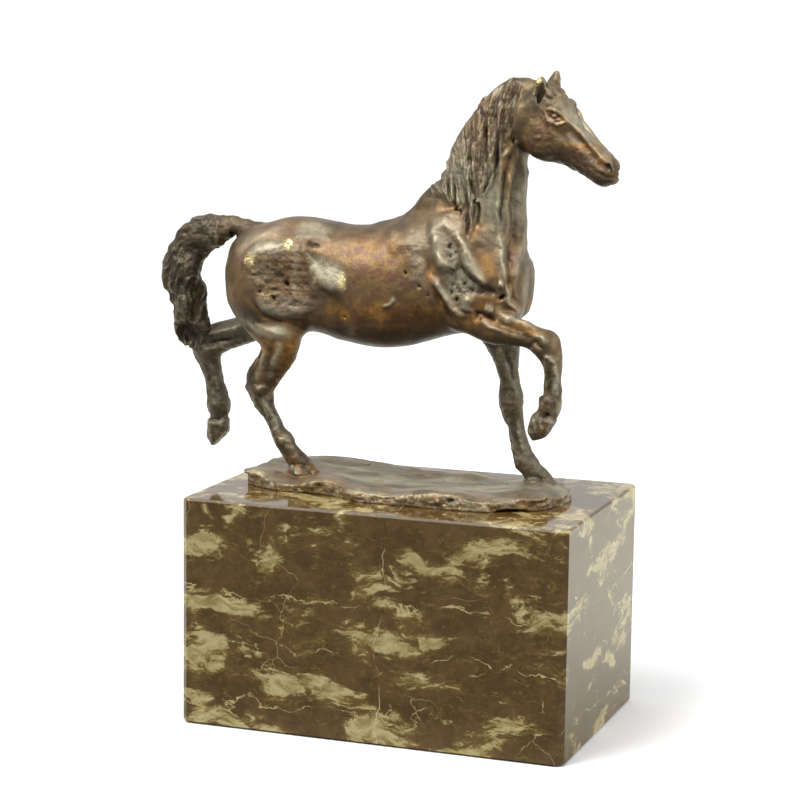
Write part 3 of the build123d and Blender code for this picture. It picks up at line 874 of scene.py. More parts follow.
def mark_neck(skin):
    """The mane combed down the right of the neck, the throat's cords, and the bare left side."""
    neck = skin.of("neck_and_head", "torso")
    right = skin.side(-1, -0.1, 0.35) * neck
    along, across = to_head(skin.points[:, 0], skin.points[:, 1])
    behind_head = 1 - ramp(along, 1, 9) * ramp(skin.points[:, 2], 256, 262)
    mane = inside(skin.wander, MANE, 3) * right * behind_head
    away_x = skin.points[:, 0] - MANE_ROOT[0]
    away_z = skin.points[:, 2] - MANE_ROOT[1]
    radius = np.hypot(away_x, away_z)
    turn = np.arctan2(away_x, away_z)
    sway = noise(skin.points, 16, 5) * 1.6
    strands = np.column_stack((turn * 46.0 + sway, radius * 0.13, skin.points[:, 1] * 0.15))
    coarse = ridged(strands, 4.2, 11, 2)
    fine = ridged(strands * (1, 1.7, 1), 2.2, 17, 2)
    breaks = ramp(noise(np.column_stack((turn * 46, radius * 0.3, turn * 0)), 4, 23), -0.5, 0.3)
    skin.lift += mane * ((coarse - 0.68) * 3.6 + (fine - 0.65) * 2.4 * breaks)
    skin.tint("rough", mane * 0.3)
    skin.tint("hair", mane)
    skin.paint["strand"] = np.where(mane > 0, strands[:, 0], skin.paint["strand"])
    for line, width, depth in (
        ([(26.8, 264.4), (27.4, 257.7), (28.5, 248.8), (29.6, 239.9)], 0.8, 1.3),
        ([(33.7, 274.4), (34.8, 262.4), (35, 253.5)], 0.8, 1),
        ([(23, 265.6), (24.6, 256.7)], 0.8, 1),
        ([(19.1, 246.2), (22.1, 234.6)], 0.9, 1.3),
        ([(15.6, 246.2), (19.1, 238)], 0.9, 1),
        ([(37.9, 251.4), (34.3, 240.9)], 0.7, 1),
        ([(28.2, 239), (28.5, 223.2)], 0.7, 1.2),
        ([(32.5, 237.9), (32.6, 227.1)], 0.7, 1),
        ([(39.4, 268.8), (40.2, 252.3)], 0.7, 0.9),
        ([(30.1, 238.9), (30.4, 237.4)], 0.9, 1.8),
        ([(22.1, 235.6), (22.6, 233.8)], 0.9, 1.8),
        ([(47.2, 266), (47.4, 263.6)], 0.8, 1.2),
    ):
        stroke(skin, right, line, width, -depth * 1.3)
        stroke(skin, right, [(x + 1.4, z) for x, z in line], width, depth * 0.9)
    for line, width, height in (
        ([(48.5, 266.7), (43.4, 258.2), (41.9, 251.1), (41, 236.7), (40.3, 224)], 1.2, 1.6),
        ([(45.6, 261.2), (43.8, 250.2), (43, 238), (42.8, 226)], 0.9, -1.2),
        ([(47.4, 264.7), (46.1, 255.9), (45.2, 246.6), (44.8, 234), (45.2, 220)], 1.2, 1.5),
        ([(48.4, 262), (47.6, 248), (47.2, 232), (47.6, 214)], 1.1, -1.2),
        ([(49.6, 258), (49.8, 246), (50, 232), (50.6, 218)], 1.1, 0.9),
    ):
        stroke(skin, right, line, width, height, 0.1)
    pitted = inside(skin.wander, [(46.4, 250.2), (51.6, 250.4), (51.6, 222.2), (46.8, 222.1)], 1.5) * right
    skin.tint("rough", pitted * 0.5)
    plane = inside(skin.wander, [(38.6, 251), (41.8, 251.1), (40.2, 226), (34.6, 226.7)], 2) * right
    skin.lift -= plane * 0.4

    roughen = [(16, 266, 11, 10, 0.55), (34, 257, 16, 7, 0.5), (20, 285, 6, 6, 0.6)]
    dab(skin, neck * ramp(along, 8, 12), "rough", roughen, np.column_stack((along, skin.points[:, 2])))

    left = skin.side(1, 0, 0.4) * neck
    for line, width, height in (
        ([(45, 262.7), (40, 250.2), (36, 238.1), (34, 226)], 2.2, 1.1),
        ([(48.5, 258.2), (45.6, 246.2), (43.3, 234), (43.2, 222)], 1.6, -1.3),
        ([(50.8, 258.7), (48.6, 246.1), (47.4, 234.6), (47.8, 220)], 1.4, 0.9),
        ([(40, 284), (30, 272), (22, 254.1), (15, 243)], 2.4, -0.8),
    ):
        stroke(skin, left, line, width, height)
    crest = skin.points[:, 2] - (252 + 1.35 * (skin.points[:, 0] - 18))
    edge = left * behind_head * np.exp(-((crest / 7) ** 2)) * ramp(skin.points[:, 2], 236, 246)
    skin.lift += edge * (coarse - 0.6) * 1.6
    skin.tint("rough", edge * 0.3)


def mark_tail(skin):
    """Twisted hair down the tail."""
    tail = skin.of("tail")
    bend = [(-84, 219.5), (-100.5, 219.3), (-113.7, 207), (-116.5, 197.5), (-112.3, 180.5), (-113, 164)]
    gap, along = line_gap(skin.flat(), bend)
    outward = skin.points[:, 0] - np.interp(along, np.linspace(0, 1, len(bend)), [x for x, z in bend])
    around = np.arctan2(skin.points[:, 1], outward + 0.01)
    hair = np.column_stack((around * 6.0 + along * 18, along * 30, around * 0))
    skin.lift += tail * ramp(along, 0, 0.1) * ((ridged(hair, 3.4, 31, 2) - 0.62) * 1.8)
    skin.lift += tail * fractal(skin.points, 6, 37) * 1.5 * ramp(along, 0, 0.15)
    stroke(skin, tail, [(-90.6, 217.6), (-88.2, 217)], 1.4, -1.8)
    skin.tint("rough", tail * 0.4)
    skin.tint("hair", tail * ramp(along, 0, 0.2) * 0.3)
    skin.paint["strand"] = np.where(tail > 0, hair[:, 0] * 0.8, skin.paint["strand"])
    skin.tint("dark", tail * ramp(along, -0.05, 0.2) * 0.75)


LEG_MARKS = {
    "right_foreleg": (
        ([(46, 187.6), (54.5, 186.6), (60, 183.6)], 1, 0.7),
        ([(44, 184.4), (54, 182), (60.6, 178.6)], 1.2, -0.8),
        ([(57.6, 175.4), (61.5, 178.4), (64.6, 177.4)], 0.9, -0.6),
        ([(60.8, 180.6), (64.8, 180.2), (67.6, 177.4)], 0.9, 0.7),
        ([(66, 173.2), (68.4, 171.4), (70, 168.4)], 1, 0.8),
        ([(69.8, 171), (70.6, 160), (70.2, 152.6)], 0.9, 0.6),
        ([(67.4, 168), (67.8, 160), (67.6, 154)], 1, -0.3),
        ([(63.4, 146.6), (66.2, 145.4), (69.2, 147)], 0.8, -0.8),
        ([(61.4, 145.2), (61.8, 141.8), (63.6, 138.2)], 0.8, 0.7),
        ([(64.4, 144.6), (65.4, 141.6), (66.6, 139.8)], 0.7, 0.6),
    ),
    "left_foreleg": (
        ([(36.8, 178), (39.6, 166), (41.4, 156)], 1.2, 0.8),
        ([(40.4, 172), (42.8, 162), (43.6, 156)], 0.9, -0.6),
        ([(38, 151.6), (43, 152.8), (46.8, 151.6)], 0.9, -0.8),
        ([(39, 146.6), (43, 147.6), (46, 146.4)], 0.9, 0.6),
        ([(43.2, 141), (45.4, 131), (48.4, 121.4)], 0.8, -0.8),
        ([(45.8, 141), (47.8, 131), (50.6, 122.4)], 0.9, 0.7),
        ([(52.4, 113.6), (57, 113.8), (61.4, 112.6)], 0.9, -0.8),
        ([(54.6, 112.6), (56, 109.8), (57.6, 107.6)], 0.8, 0.6),
        ([(57.6, 112.4), (59.2, 110), (61, 108)], 0.8, 0.6),
    ),
    "right_hind_leg": (
        ([(-71.4, 170), (-73, 160), (-75, 152)], 1.2, -1.3),
        ([(-66.6, 168.6), (-69, 159.3), (-71.6, 151.3)], 1.1, 0.9),
        ([(-58.6, 174), (-60.6, 166), (-64.6, 158)], 1.5, 0.9),
        ([(-62.8, 170), (-65, 162), (-67.6, 155)], 1.4, -0.6),
        ([(-72.6, 147.4), (-69.6, 149.6), (-66.6, 149.4)], 1.1, 0.8),
        ([(-72.4, 143.6), (-69, 136.3), (-63.9, 127.4)], 0.9, -0.9),
        ([(-69.4, 144.6), (-66.2, 136.3), (-61.3, 127.4)], 0.9, 0.8),
        ([(-61.6, 124.6), (-58.6, 125.4), (-56.4, 123.6)], 1, 0.7),
        ([(-56, 113.8), (-51.6, 114.4), (-47.4, 113.2)], 0.9, -0.8),
        ([(-53.6, 112.6), (-51.8, 110), (-50.4, 108)], 0.8, 0.6),
    ),
    "left_hind_leg": (
        ([(-114, 168.3), (-101.9, 170.8), (-86.5, 174.3)], 1.3, 1.3),
        ([(-108, 164.6), (-97.9, 167.2), (-84.5, 169.8)], 1.7, -1.4),
        ([(-110.6, 161.6), (-101.9, 162.8), (-92.5, 165.6)], 1.1, 0.8),
        ([(-107.2, 157), (-104.7, 147.3), (-102.8, 140.4)], 0.9, -0.9),
        ([(-104.6, 157.6), (-102.2, 148.3), (-100.4, 141.4)], 0.9, 0.8),
        ([(-106.6, 129.6), (-102.4, 128.4), (-98.2, 130)], 0.9, -0.9),
        ([(-104.4, 126.6), (-104, 122.6), (-103, 119.4)], 0.8, 0.6),
    ),
}


def mark_legs(skin):
    """Ridges and grooves beside the tendons, joint folds and the coronet of each hoof."""
    for name, marks in LEG_MARKS.items():
        for sign in (-1, 1):
            where = skin.side(sign, 0, 0.4) * skin.of(name)
            for line, width, height in marks:
                # Ridges painted pale as highlights, grooves painted dark as shade.
                tone = {"pale": 0.75} if height > 0 else {"dark": 0.85}
                stroke(skin, where, line, width, height, 0.2, **tone)
    legs = skin.of(*LEG_MARKS)
    low = legs * ramp(182 - skin.points[:, 2], 0, 14)
    skin.lift += low * fractal(skin.points, 4.5, 43) * 0.45
    skin.tint("rough", low * 0.3)


def mark_plate(skin):
    """Ripples on the cast ground and its broken edge."""
    plate = skin.of("ground_plate")
    top = plate * ramp(skin.normals[:, 2], 0.3, 0.8)
    edge = plate * (1 - ramp(np.abs(skin.normals[:, 2]), 0.35, 0.75))
    drawn = skin.points * (0.45, 1, 1)
    skin.lift += top * (fractal(drawn, 7, 51, 2) * 1.1 + (ridged(drawn, 6, 57, 1) - 0.6) * 1)
    broken = fractal(skin.points, 6, 61, 2) * 1.3 + (ridged(skin.points, 3, 67, 2) - 0.6) * 1.3
    skin.lift += edge * broken
    skin.tint("rough", edge * 0.4)


def mark_everywhere(skin):
    """The planes of wax worked by hand, then the casting's grain."""
    horse = 1 - skin.of("ground_plate")
    head = skin.of("neck_and_head") * ramp(to_head(skin.points[:, 0], skin.points[:, 1])[0], 8, 14)
    calm = 1 - 0.45 * head
    planes = (ridged(skin.points, 15, 71, 1) - 0.5) * 0.7 + noise(skin.points, 9, 73) * 0.25
    skin.lift += horse * calm * planes
    chips = (ridged(skin.points, 3.2, 79, 2) - 0.62) * 1.7 + (ridged(skin.points, 1.7, 83, 1) - 0.6) * 0.5
    grain = skin.paint["rough"] * chips
    skin.lift += grain + horse * calm * noise(skin.points, 3.2, 89) * 0.06


def colour_body(skin):
    """Golden below and red above on both sides, grey on the facets, painted highlights on the haunch's lips,
    the thigh and the mane, painted glints, and painted shade on the back, atop the haunch's hollow and under
    the belly.
    """
    right, left = body_side(skin, -1, -0.1, 0.3), body_side(skin, 1, -0.1, 0.3)
    for where, name, spots in (
        (right, "gold", [
            (-26, 186, 12, 6, 0.9), (-6, 187, 20, 6, 1), (8, 188, 12, 6, 0.9), (-46, 180, 14, 5, 0.8),
            (-60, 170, 10, 10, 0.9), (38, 190, 12, 8, 0.8), (28, 188, 6, 8, 0.7), (44.4, 250, 2, 12, 0.6),
            (-16, 216, 20, 7, 0.35), (52, 184, 12, 5, 0.8), (47, 190, 6, 6, 0.6), (33, 226, 7, 5, 0.7),
        ]),
        (left, "gold", [(-20, 186, 24, 6, 0.8), (38, 208, 10, 12, 0.7), (-62, 176, 12, 12, 0.6)]),
        (right, "red", [
            (-10, 205, 26, 14, 0.8), (-78, 200, 8, 20, 0.5), (-62, 224, 16, 5, 0.7), (-36, 215, 8, 3, 0.8),
            (18, 232, 10, 5, 0.5), (-20, 178, 20, 6, 0.5), (30, 270, 14, 12, 0.5), (-36, 190, 6, 5, 0.6),
        ]),
        (left, "red", [(-50, 206, 26, 16, 0.6), (-5, 205, 28, 14, 0.7), (20, 220, 14, 10, 0.5)]),
        # Pale ovals on the right: painted highlights on the haunch's lips, the thigh, the arm and the mane,
        # partly grey patina.
        (right, "pale", [
            (-52, 188, 10, 5, 0.7), (-66, 203, 6, 6, 0.35), (-62, 213, 8, 2.5, 0.6), (18, 218, 8, 8, 0.6),
            (38, 240, 5, 15, 1), (22, 250, 7, 14, 0.6), (41, 236, 4, 15, 1), (28, 203, 7, 7, 0.9),
            (-60, 177, 6, 2.5, 0.9), (49, 238, 3, 12, 0.6),
        ]),
        (left, "pale", [(-55, 200, 14, 12, 0.6), (-14, 206, 12, 8, 0.6), (22, 214, 9, 12, 0.7)]),
        # Painted glints on bright yellow spots.
        (right, "brass_and_glint", [
            (-54.3, 216, 2.6, 2.5, 0.95), (-72.4, 208.9, 4, 3.6, 0.72), (-27.6, 201, 2.5, 5.4, 0.82),
            (-4.6, 192.6, 2.6, 1.2, 0.5), (-64, 193, 5, 4, 0.45),
        ]),
        # Dark ovals: painted shade atop the haunch's hollow and along the back.
        (right, "dark", [(-60, 206, 11, 5, 0.4), (-47, 208, 5, 6, 0.3), (-20, 225, 24, 5, 0.3)]),
    ):
        dab(skin, where, name, spots)
    # Darkened on downward faces and at the bottom of the body: painted shade under the belly and neck.
    below = ramp(-skin.normals[:, 2], 0.05, 0.6) * skin.of("torso", "right_foreleg", "neck_and_head")
    low = ramp(186 - skin.points[:, 2], 0, 8) * skin.of("torso")
    skin.tint("dark", np.maximum(below * 0.8, low * 0.95))


def colour_head(skin):
    """Given along the turned head: a red cheek, painted shade in its hollows, a golden crest, a pale bridge
    painted as a highlight on upward faces, and painted glints by the near ear.
    """
    along, across = to_head(skin.points[:, 0], skin.points[:, 1])
    profile = np.column_stack((along, skin.points[:, 2]))
    head = skin.of("neck_and_head") * ramp(along, 8, 12)
    for where, name, spots in (
        (head, "red", [(18, 268, 8, 9, 0.8), (34, 260, 12, 5, 0.6)]),
        # Dark ovals under the cheek, at the nostril and in the ear: painted shade.
        (head, "dark", [
            (30, 262, 14, 7, 0.55), (16, 264, 8, 8, 0.35), (45, 253, 6, 4, 0.6), (49.4, 255.4, 1.8, 1.8, 0.9),
            (15, 285.5, 1.6, 5, 0.9), (15.4, 279.8, 2, 3, 0.6),
        ]),
        (head, "gold", [(38, 264, 8, 2.2, 1), (9, 264, 4, 5, 0.8), (46, 258, 3, 3, 0.9)]),
        (head, "gold", [(51, 255, 5, 4, 0.45), (36, 270, 6, 2, 0.6), (24, 276, 5, 3.5, 0.8)]),
        # Pale on upward faces: a painted highlight.
        (head * ramp(skin.normals[:, 2], 0.1, 0.5), "pale", [(36, 274, 16, 10, 1), (50, 262, 8, 5, 0.7)]),
        # Glints painted on the near side only.
        (head * ramp(-across, 2, 5), "brass_and_glint", [(13, 291.6, 2.6, 2.6, 1), (11.8, 288.4, 1.6, 3.4, 0.9)]),
    ):
        dab(skin, where, name, spots, profile)
    skin.tint("dark", head * skin.patches(3.4, 239, 0, 0.5) * 0.45)


def colour_legs(skin):
    """Darker low down and stained, with painted shade on the far legs and down the back of the near hind leg,
    red and golden tendons on the right and flecks of grey.
    """
    far = skin.of("left_foreleg", "left_hind_leg") * ramp(186 - skin.points[:, 2], 0, 10)
    near = skin.of("right_foreleg", "right_hind_leg") * ramp(168 - skin.points[:, 2], 0, 12)
    # Far legs darkened: painted shade.
    skin.tint("dark", far * 0.68)
    skin.tint("pale", far * 0.3)
    skin.tint("dark", near * 0.35)
    hamstring = [(-73, 172), (-69.6, 168), (-72.2, 158), (-74, 150), (-80, 147), (-77, 158)]
    fill(skin, near, "gold", [(-74, 172), (-58, 174), (-66, 156), (-70, 150), (-74, 158)], 3, 0.8)
    # Dark down the back edge of the near hind leg: painted shade.
    fill(skin, near, "dark", hamstring, 1.5, 0.85)
    fill(skin, near, "red", [(-58, 172), (-50, 172), (-60, 150), (-66, 144), (-65, 154)], 2.5, 0.9)
    skin.tint("gold", near * 0.5 * skin.patches(5, 223, -0.1, 0.5))
    skin.tint("pale", (near + 0.6 * far) * skin.patches(2.4, 229, 0.1, 0.5) * 0.6)
    skin.tint("dark", (near + far) * skin.patches(2.8, 233, 0.15, 0.5) * 0.85)
    dab(skin, skin.of("left_foreleg"), "dark", [(42.4, 150.4, 6, 2.6, 0.95)])
    dab(skin, skin.of("left_foreleg"), "red", [(42.4, 146.4, 6, 3, 0.6)])


def colour_plate(skin):
    """Grey streaks along the ground, partly a painted reflection on its top, red and golden near its right
    edge, and a bright broken rim with painted glints.
    """
    plate = skin.of("ground_plate")
    top = plate * ramp(skin.normals[:, 2], 0.4, 0.8)
    streaks = ramp(noise(skin.points * (0.35, 1, 1), 5, 211), -0.3, 0.5)
    # Pale on the top: grey streaks, partly patina, partly a painted reflection.
    skin.tint("pale", top * (0.25 + 0.55 * streaks))
    for name, spots in (
        ("red", [(-50, -13, 15, 10, 1), (-20, -26, 30, 6, 0.9), (30, -27, 24, 5, 0.7)]),
        ("gold", [(-50, -12, 11, 7, 0.7), (-20, -27, 28, 3, 0.7), (30, -28, 20, 3, 0.6)]),
        ("dark", [(-54, -14, 9, 6, 0.4), (10, 2, 24, 3, 0.5), (-10, -14, 22, 3, 0.5)]),
    ):
        dab(skin, top, name, spots, skin.flat(0, 1))
    skin.paint["pale"] *= 1 - 0.85 * top * skin.paint["red"]
    rim = plate * (1 - ramp(skin.normals[:, 2], 0.3, 0.7))
    skin.tint("gold", rim * 0.5)
    skin.tint("pale", rim * (0.3 + 0.5 * skin.patches(3, 227, 0, 0.6)))
    # Painted glints on the rim.
    skin.tint("brass_and_glint", rim * 0.6 * skin.patches(2, 241, 0.2, 0.5))


def finish_cavity(skin):
    """How deep in a hollow, or how far out on an edge, each point is."""
    cavity = np.zeros(len(skin.points))
    smooth = skin.points.copy()
    for reach, share in ((3, 0.5), (10, 0.5)):
        for repeat in range(reach):
            smooth = np.column_stack([skin.spread(smooth[:, axis]) for axis in range(3)])
        cavity += share * ((smooth - skin.points) * skin.normals).sum(1)
    return cavity


def worked_skin():
    """The horse's skin with every tool mark and every colour."""
    points, quads, owner = model_horse()
    skin = Skin(points, quads, owner)
    mark_body_right(skin)
    mark_body_left(skin)
    mark_plate(skin)
    skin.apply()
    mark_neck(skin)
    mark_tail(skin)
    mark_legs(skin)
    mark_everywhere(skin)
    skin.apply()
    keep_above_plinth(skin)
    colour_body(skin)
    colour_head(skin)
    colour_legs(skin)
    colour_plate(skin)
    skin.paint["cavity"] = finish_cavity(skin)
    return skin


def keep_above_plinth(skin, gap=0.02):
    """The ground stays just off the plinth's top."""
    skin.points[:, 2] = np.maximum(skin.points[:, 2], PLINTH_TOP + gap)
    skin.normals = vertex_normals(skin.points, skin.quads)


# ---------------------------------------------------------------- castings cut from the skin


def face_owners(skin):
    """One casting for each face, with stray patches given to the casting around them."""
    owner = skin.owner[skin.quads].max(1).astype(np.int64)
    edges = np.sort(np.concatenate([skin.quads[:, (i, (i + 1) % 4)] for i in range(4)]), axis=1)
    faces = np.tile(np.arange(len(skin.quads)), 4)
    key = edges[:, 0] * len(skin.points) + edges[:, 1]
    order = np.argsort(key, kind="stable")
    same = key[order][1:] == key[order][:-1]
    pairs = np.column_stack((faces[order][:-1][same], faces[order][1:][same]))
    neighbours = [[] for face in range(len(owner))]
    for a, b in pairs.tolist():
        neighbours[a].append(b)
        neighbours[b].append(a)
    patch = np.full(len(owner), -1)
    patches = []
    for start in range(len(owner)):
        if patch[start] >= 0:
            continue
        patch[start] = len(patches)
        members = [start]
        for face in members:
            for other in neighbours[face]:
                if patch[other] < 0 and owner[other] == owner[start]:
                    patch[other] = len(patches)
                    members.append(other)
        patches.append(members)
    largest = {}
    for members in patches:
        node = owner[members[0]]
        largest[node] = max(largest.get(node, 0), len(members))
    for members in sorted(patches, key=len):
        node = owner[members[0]]
        if len(members) == largest[node]:
            continue
        around = [owner[other] for face in members for other in neighbours[face] if owner[other] != node]
        if around:
            owner[members] = max(set(around), key=around.count)
    return owner


def tucked_rim(quads, points, normals, depth=1.3):
    """Points and quads that turn an open edge inwards, so that the cap lies below the surface."""
    starts = quads.ravel()
    ends = np.roll(quads, -1, axis=1).ravel()
    forward, backward = starts * len(points) + ends, ends * len(points) + starts
    opened = ~np.isin(forward, backward)
    starts, ends = starts[opened], ends[opened]
    rim, place = np.unique(np.concatenate((starts, ends)), return_inverse=True)
    inner_starts, inner_ends = place[: len(starts)] + len(points), place[len(starts):] + len(points)
    return rim, points[rim] - normals[rim] * depth, np.column_stack((ends, starts, inner_starts, inner_ends))


def cut_casting(skin, faces, name, material):
    """A closed mesh of one casting, capped just below the surface where it meets the next."""
    used, local = np.unique(skin.quads[faces], return_inverse=True)
    quads = local.reshape(-1, 4)
    points, normals = skin.points[used], skin.normals[used]
    rim, inner, turned = tucked_rim(quads, points, normals)
    source = np.concatenate((used, used[rim]))
    mesh = bpy.data.meshes.new(name)
    every_point = np.concatenate((points, inner))
    mesh.from_pydata((every_point * MM).tolist(), [], np.concatenate((quads, turned)).tolist())
    body = bmesh.new()
    body.from_mesh(mesh)
    open_edges = [edge for edge in body.edges if edge.is_boundary]
    bmesh.ops.holes_fill(body, edges=open_edges, sides=0)
    body.to_mesh(mesh)
    body.free()
    for field, values in skin.paint.items():
        layer = mesh.attributes.new(field, "FLOAT", "POINT")
        layer.data.foreach_set("value", values[source].astype(np.float32))
    mesh.polygons.foreach_set("use_smooth", [True] * len(mesh.polygons))
    mesh.normals_split_custom_set_from_vertices(skin.normals[source].tolist())
    mesh.materials.append(material)
    return put_in_scene(name, mesh)


# ---------------------------------------------------------------- materials


class Recipe:
    """A tree of shader nodes, built line by line."""

    def __init__(self, tree):
        self.tree = tree
        tree.nodes.clear()

    def put(self, socket, value):
        if isinstance(value, bpy.types.NodeSocket):
            self.tree.links.new(value, socket)
        elif isinstance(value, tuple) and len(value) == 3 and socket.type == "RGBA":
            socket.default_value = (*value, 1.0)
        else:
            socket.default_value = value

    def node(self, kind, *first, **values):
        """A node of this kind, given its first inputs in order and others by name."""
        node = self.tree.nodes.new("ShaderNode" + kind)
        for name in [name for name in values if name.islower()]:
            setattr(node, name, values.pop(name))
        for socket, value in zip(node.inputs, first):
            self.put(socket, value)
        for name, value in values.items():
            self.put(node.inputs[name.replace("_", " ")], value)
        return node

    def field(self, name):
        return self.node("Attribute", attribute_name=name).outputs["Fac"]

    def math(self, operation, a, b=0.0):
        return self.node("Math", a, b, operation=operation).outputs[0]

    def split(self, vector):
        return self.node("SeparateXYZ", vector).outputs

    def combine(self, x, y, z):
        return self.node("CombineXYZ", x, y, z).outputs[0]

    def stretch(self, place, scale):
        return self.node("Mapping", Vector=place, Scale=scale).outputs[0]

    def ramp(self, value, start, end, low=0.0, high=1.0, shape="SMOOTHSTEP"):
        return self.node("MapRange", value, start, end, low, high, interpolation_type=shape).outputs["Result"]

    def mix(self, share, first, second):
        node = self.node("Mix", data_type="RGBA")
        for index, value in ((0, share), (6, first), (7, second)):
            self.put(node.inputs[index], value)
        return node.outputs[2]


class Finish(Recipe):
    """A material, with textures sized in millimetres."""

    def __init__(self, name):
        self.material = bpy.data.materials.new(name)
        self.material.use_nodes = True
        super().__init__(self.material.node_tree)
        self.shader = self.node("BsdfPrincipled")
        self.node("OutputMaterial", self.shader.outputs[0])
        self.place = self.node("TexCoord").outputs["Object"]

    def set(self, **values):
        for name, value in values.items():
            self.put(self.shader.inputs[name.replace("_", " ")], value)

    def noise(self, size, detail=3.0, roughness=0.55, distortion=0.0, at=None):
        """Noise with features about size millimetres across."""
        node = self.node("TexNoise", Vector=at or self.place, Scale=1 / (size * MM), Detail=detail)
        self.put(node.inputs["Roughness"], roughness)
        self.put(node.inputs["Distortion"], distortion)
        return node.outputs["Fac"]

    def bump(self, height, distance, strength=1.0, normal=None):
        node = self.node("Bump", Height=height, Distance=distance * MM, Strength=strength)
        if normal is not None:
            self.put(node.inputs["Normal"], normal)
        return node.outputs["Normal"]


def colour(code):
    """Linear colour from a six-digit web colour."""
    parts = [int(code[i : i + 2], 16) / 255 for i in (0, 2, 4)]
    return tuple(part / 12.92 if part <= 0.04045 else ((part + 0.055) / 1.055) ** 2.4 for part in parts)


def bronze():
    """Brown patina, rubbed golden or red in places, grey where it is rough and partly as a painted sheen,
    bright yellow rubbed spots with painted glints, painted shade in hollows, painted highlights on rubbed
    edges, and painted highlights and shade along the hair.
    """
    r = Finish("patinated_bronze")
    blotch = r.noise(9.0, 4.0, 0.6)
    drift = r.noise(6.0, 4.0, 0.6)
    mottle = r.noise(2.6, 4.0, 0.65)
    speck = r.noise(0.8, 3.0, 0.7)
    across = r.math("MULTIPLY", r.field("strand"), MM)
    height = r.math("MULTIPLY", r.split(r.place)[2], 0.13)
    hair = r.noise(0.9, 2.0, 0.6, 0.0, r.combine(across, height, 0.0))
    skin = r.mix(r.ramp(blotch, 0.35, 0.65), colour("51432c"), colour("766243"))
    red = r.math("MULTIPLY", r.field("red"), r.ramp(mottle, 0.25, 0.6, 0.45, 0.95))
    skin = r.mix(red, skin, r.mix(r.ramp(drift, 0.42, 0.58), colour("7c5140"), colour("90703f")))
    gold = r.math("MULTIPLY", r.field("gold"), r.ramp(mottle, 0.3, 0.7, 0.45, 1.0))
    skin = r.mix(gold, skin, r.mix(r.ramp(drift, 0.42, 0.6), colour("804f17"), colour("bf852a")))
    pale = r.math("MULTIPLY", r.field("pale"), r.ramp(mottle, 0.35, 0.65, 0.6, 1.0))
    skin = r.mix(pale, skin, colour("b4ac92"))
    dark = r.math("MULTIPLY", r.field("dark"), r.ramp(mottle, 0.25, 0.7, 0.95, 0.65))
    skin = r.mix(dark, skin, colour("271f15"))
    skin = r.mix(r.ramp(speck, 0.56, 0.72, 0.0, 0.5), skin, colour("3a2f20"))
    # Along the hair, pale streaks are painted highlights and the dark lines between strands painted shade.
    streaks = r.math("MULTIPLY", r.field("hair"), r.ramp(hair, 0.5, 0.66, 0.0, 0.65))
    skin = r.mix(streaks, skin, colour("b0a68a"))
    gaps = r.math("MULTIPLY", r.field("hair"), r.ramp(hair, 0.46, 0.34, 0.0, 0.8))
    skin = r.mix(gaps, skin, colour("2a2116"))
    # Darkened towards near black in hollows: painted shade. Hollows are also made rougher below.
    hollow = r.ramp(r.field("cavity"), 0.08, 0.5)
    skin = r.mix(r.math("MULTIPLY", hollow, 0.85), skin, colour("17110a"))
    # Paler on sharp edges: partly rubbed wear, partly a painted highlight.
    edge = r.ramp(r.field("cavity"), -0.10, -0.45)
    rubbed_and_highlit = r.math("MULTIPLY", edge, r.ramp(mottle, 0.4, 0.7, 0.15, 0.7))
    skin = r.mix(rubbed_and_highlit, skin, colour("bdb08c"))
    # Bright yellow spots, made more metallic, with a painted glint on them.
    brass_and_glint = r.math("MULTIPLY", r.field("brass_and_glint"), r.ramp(speck, 0.38, 0.6, 0.2, 1.0))
    brass_and_glint = r.ramp(brass_and_glint, 0.25, 0.6)
    skin = r.mix(brass_and_glint, skin, colour("f0dc9c"))
    gloss = r.ramp(mottle, 0.3, 0.7, 0.38, 0.54)
    gloss = r.math("ADD", gloss, r.math("MULTIPLY", hollow, 0.25))
    metal = r.math("ADD", r.math("MULTIPLY", brass_and_glint, 0.35), 0.6)
    grain = r.bump(mottle, 0.35, 0.7)
    grain = r.bump(speck, 0.25, 0.8, grain)
    grain = r.bump(r.math("MULTIPLY", r.field("hair"), hair), 0.8, 1.0, grain)
    pitted = r.math("MULTIPLY", r.field("rough"), r.noise(1.1, 4.0, 0.7))
    grain = r.bump(pitted, 1.0, 1.0, grain)
    r.set(Base_Color=skin, Metallic=metal, Roughness=gloss, Normal=grain)
    r.set(Coat_Weight=0.3, Coat_Roughness=0.35)
    return r.material


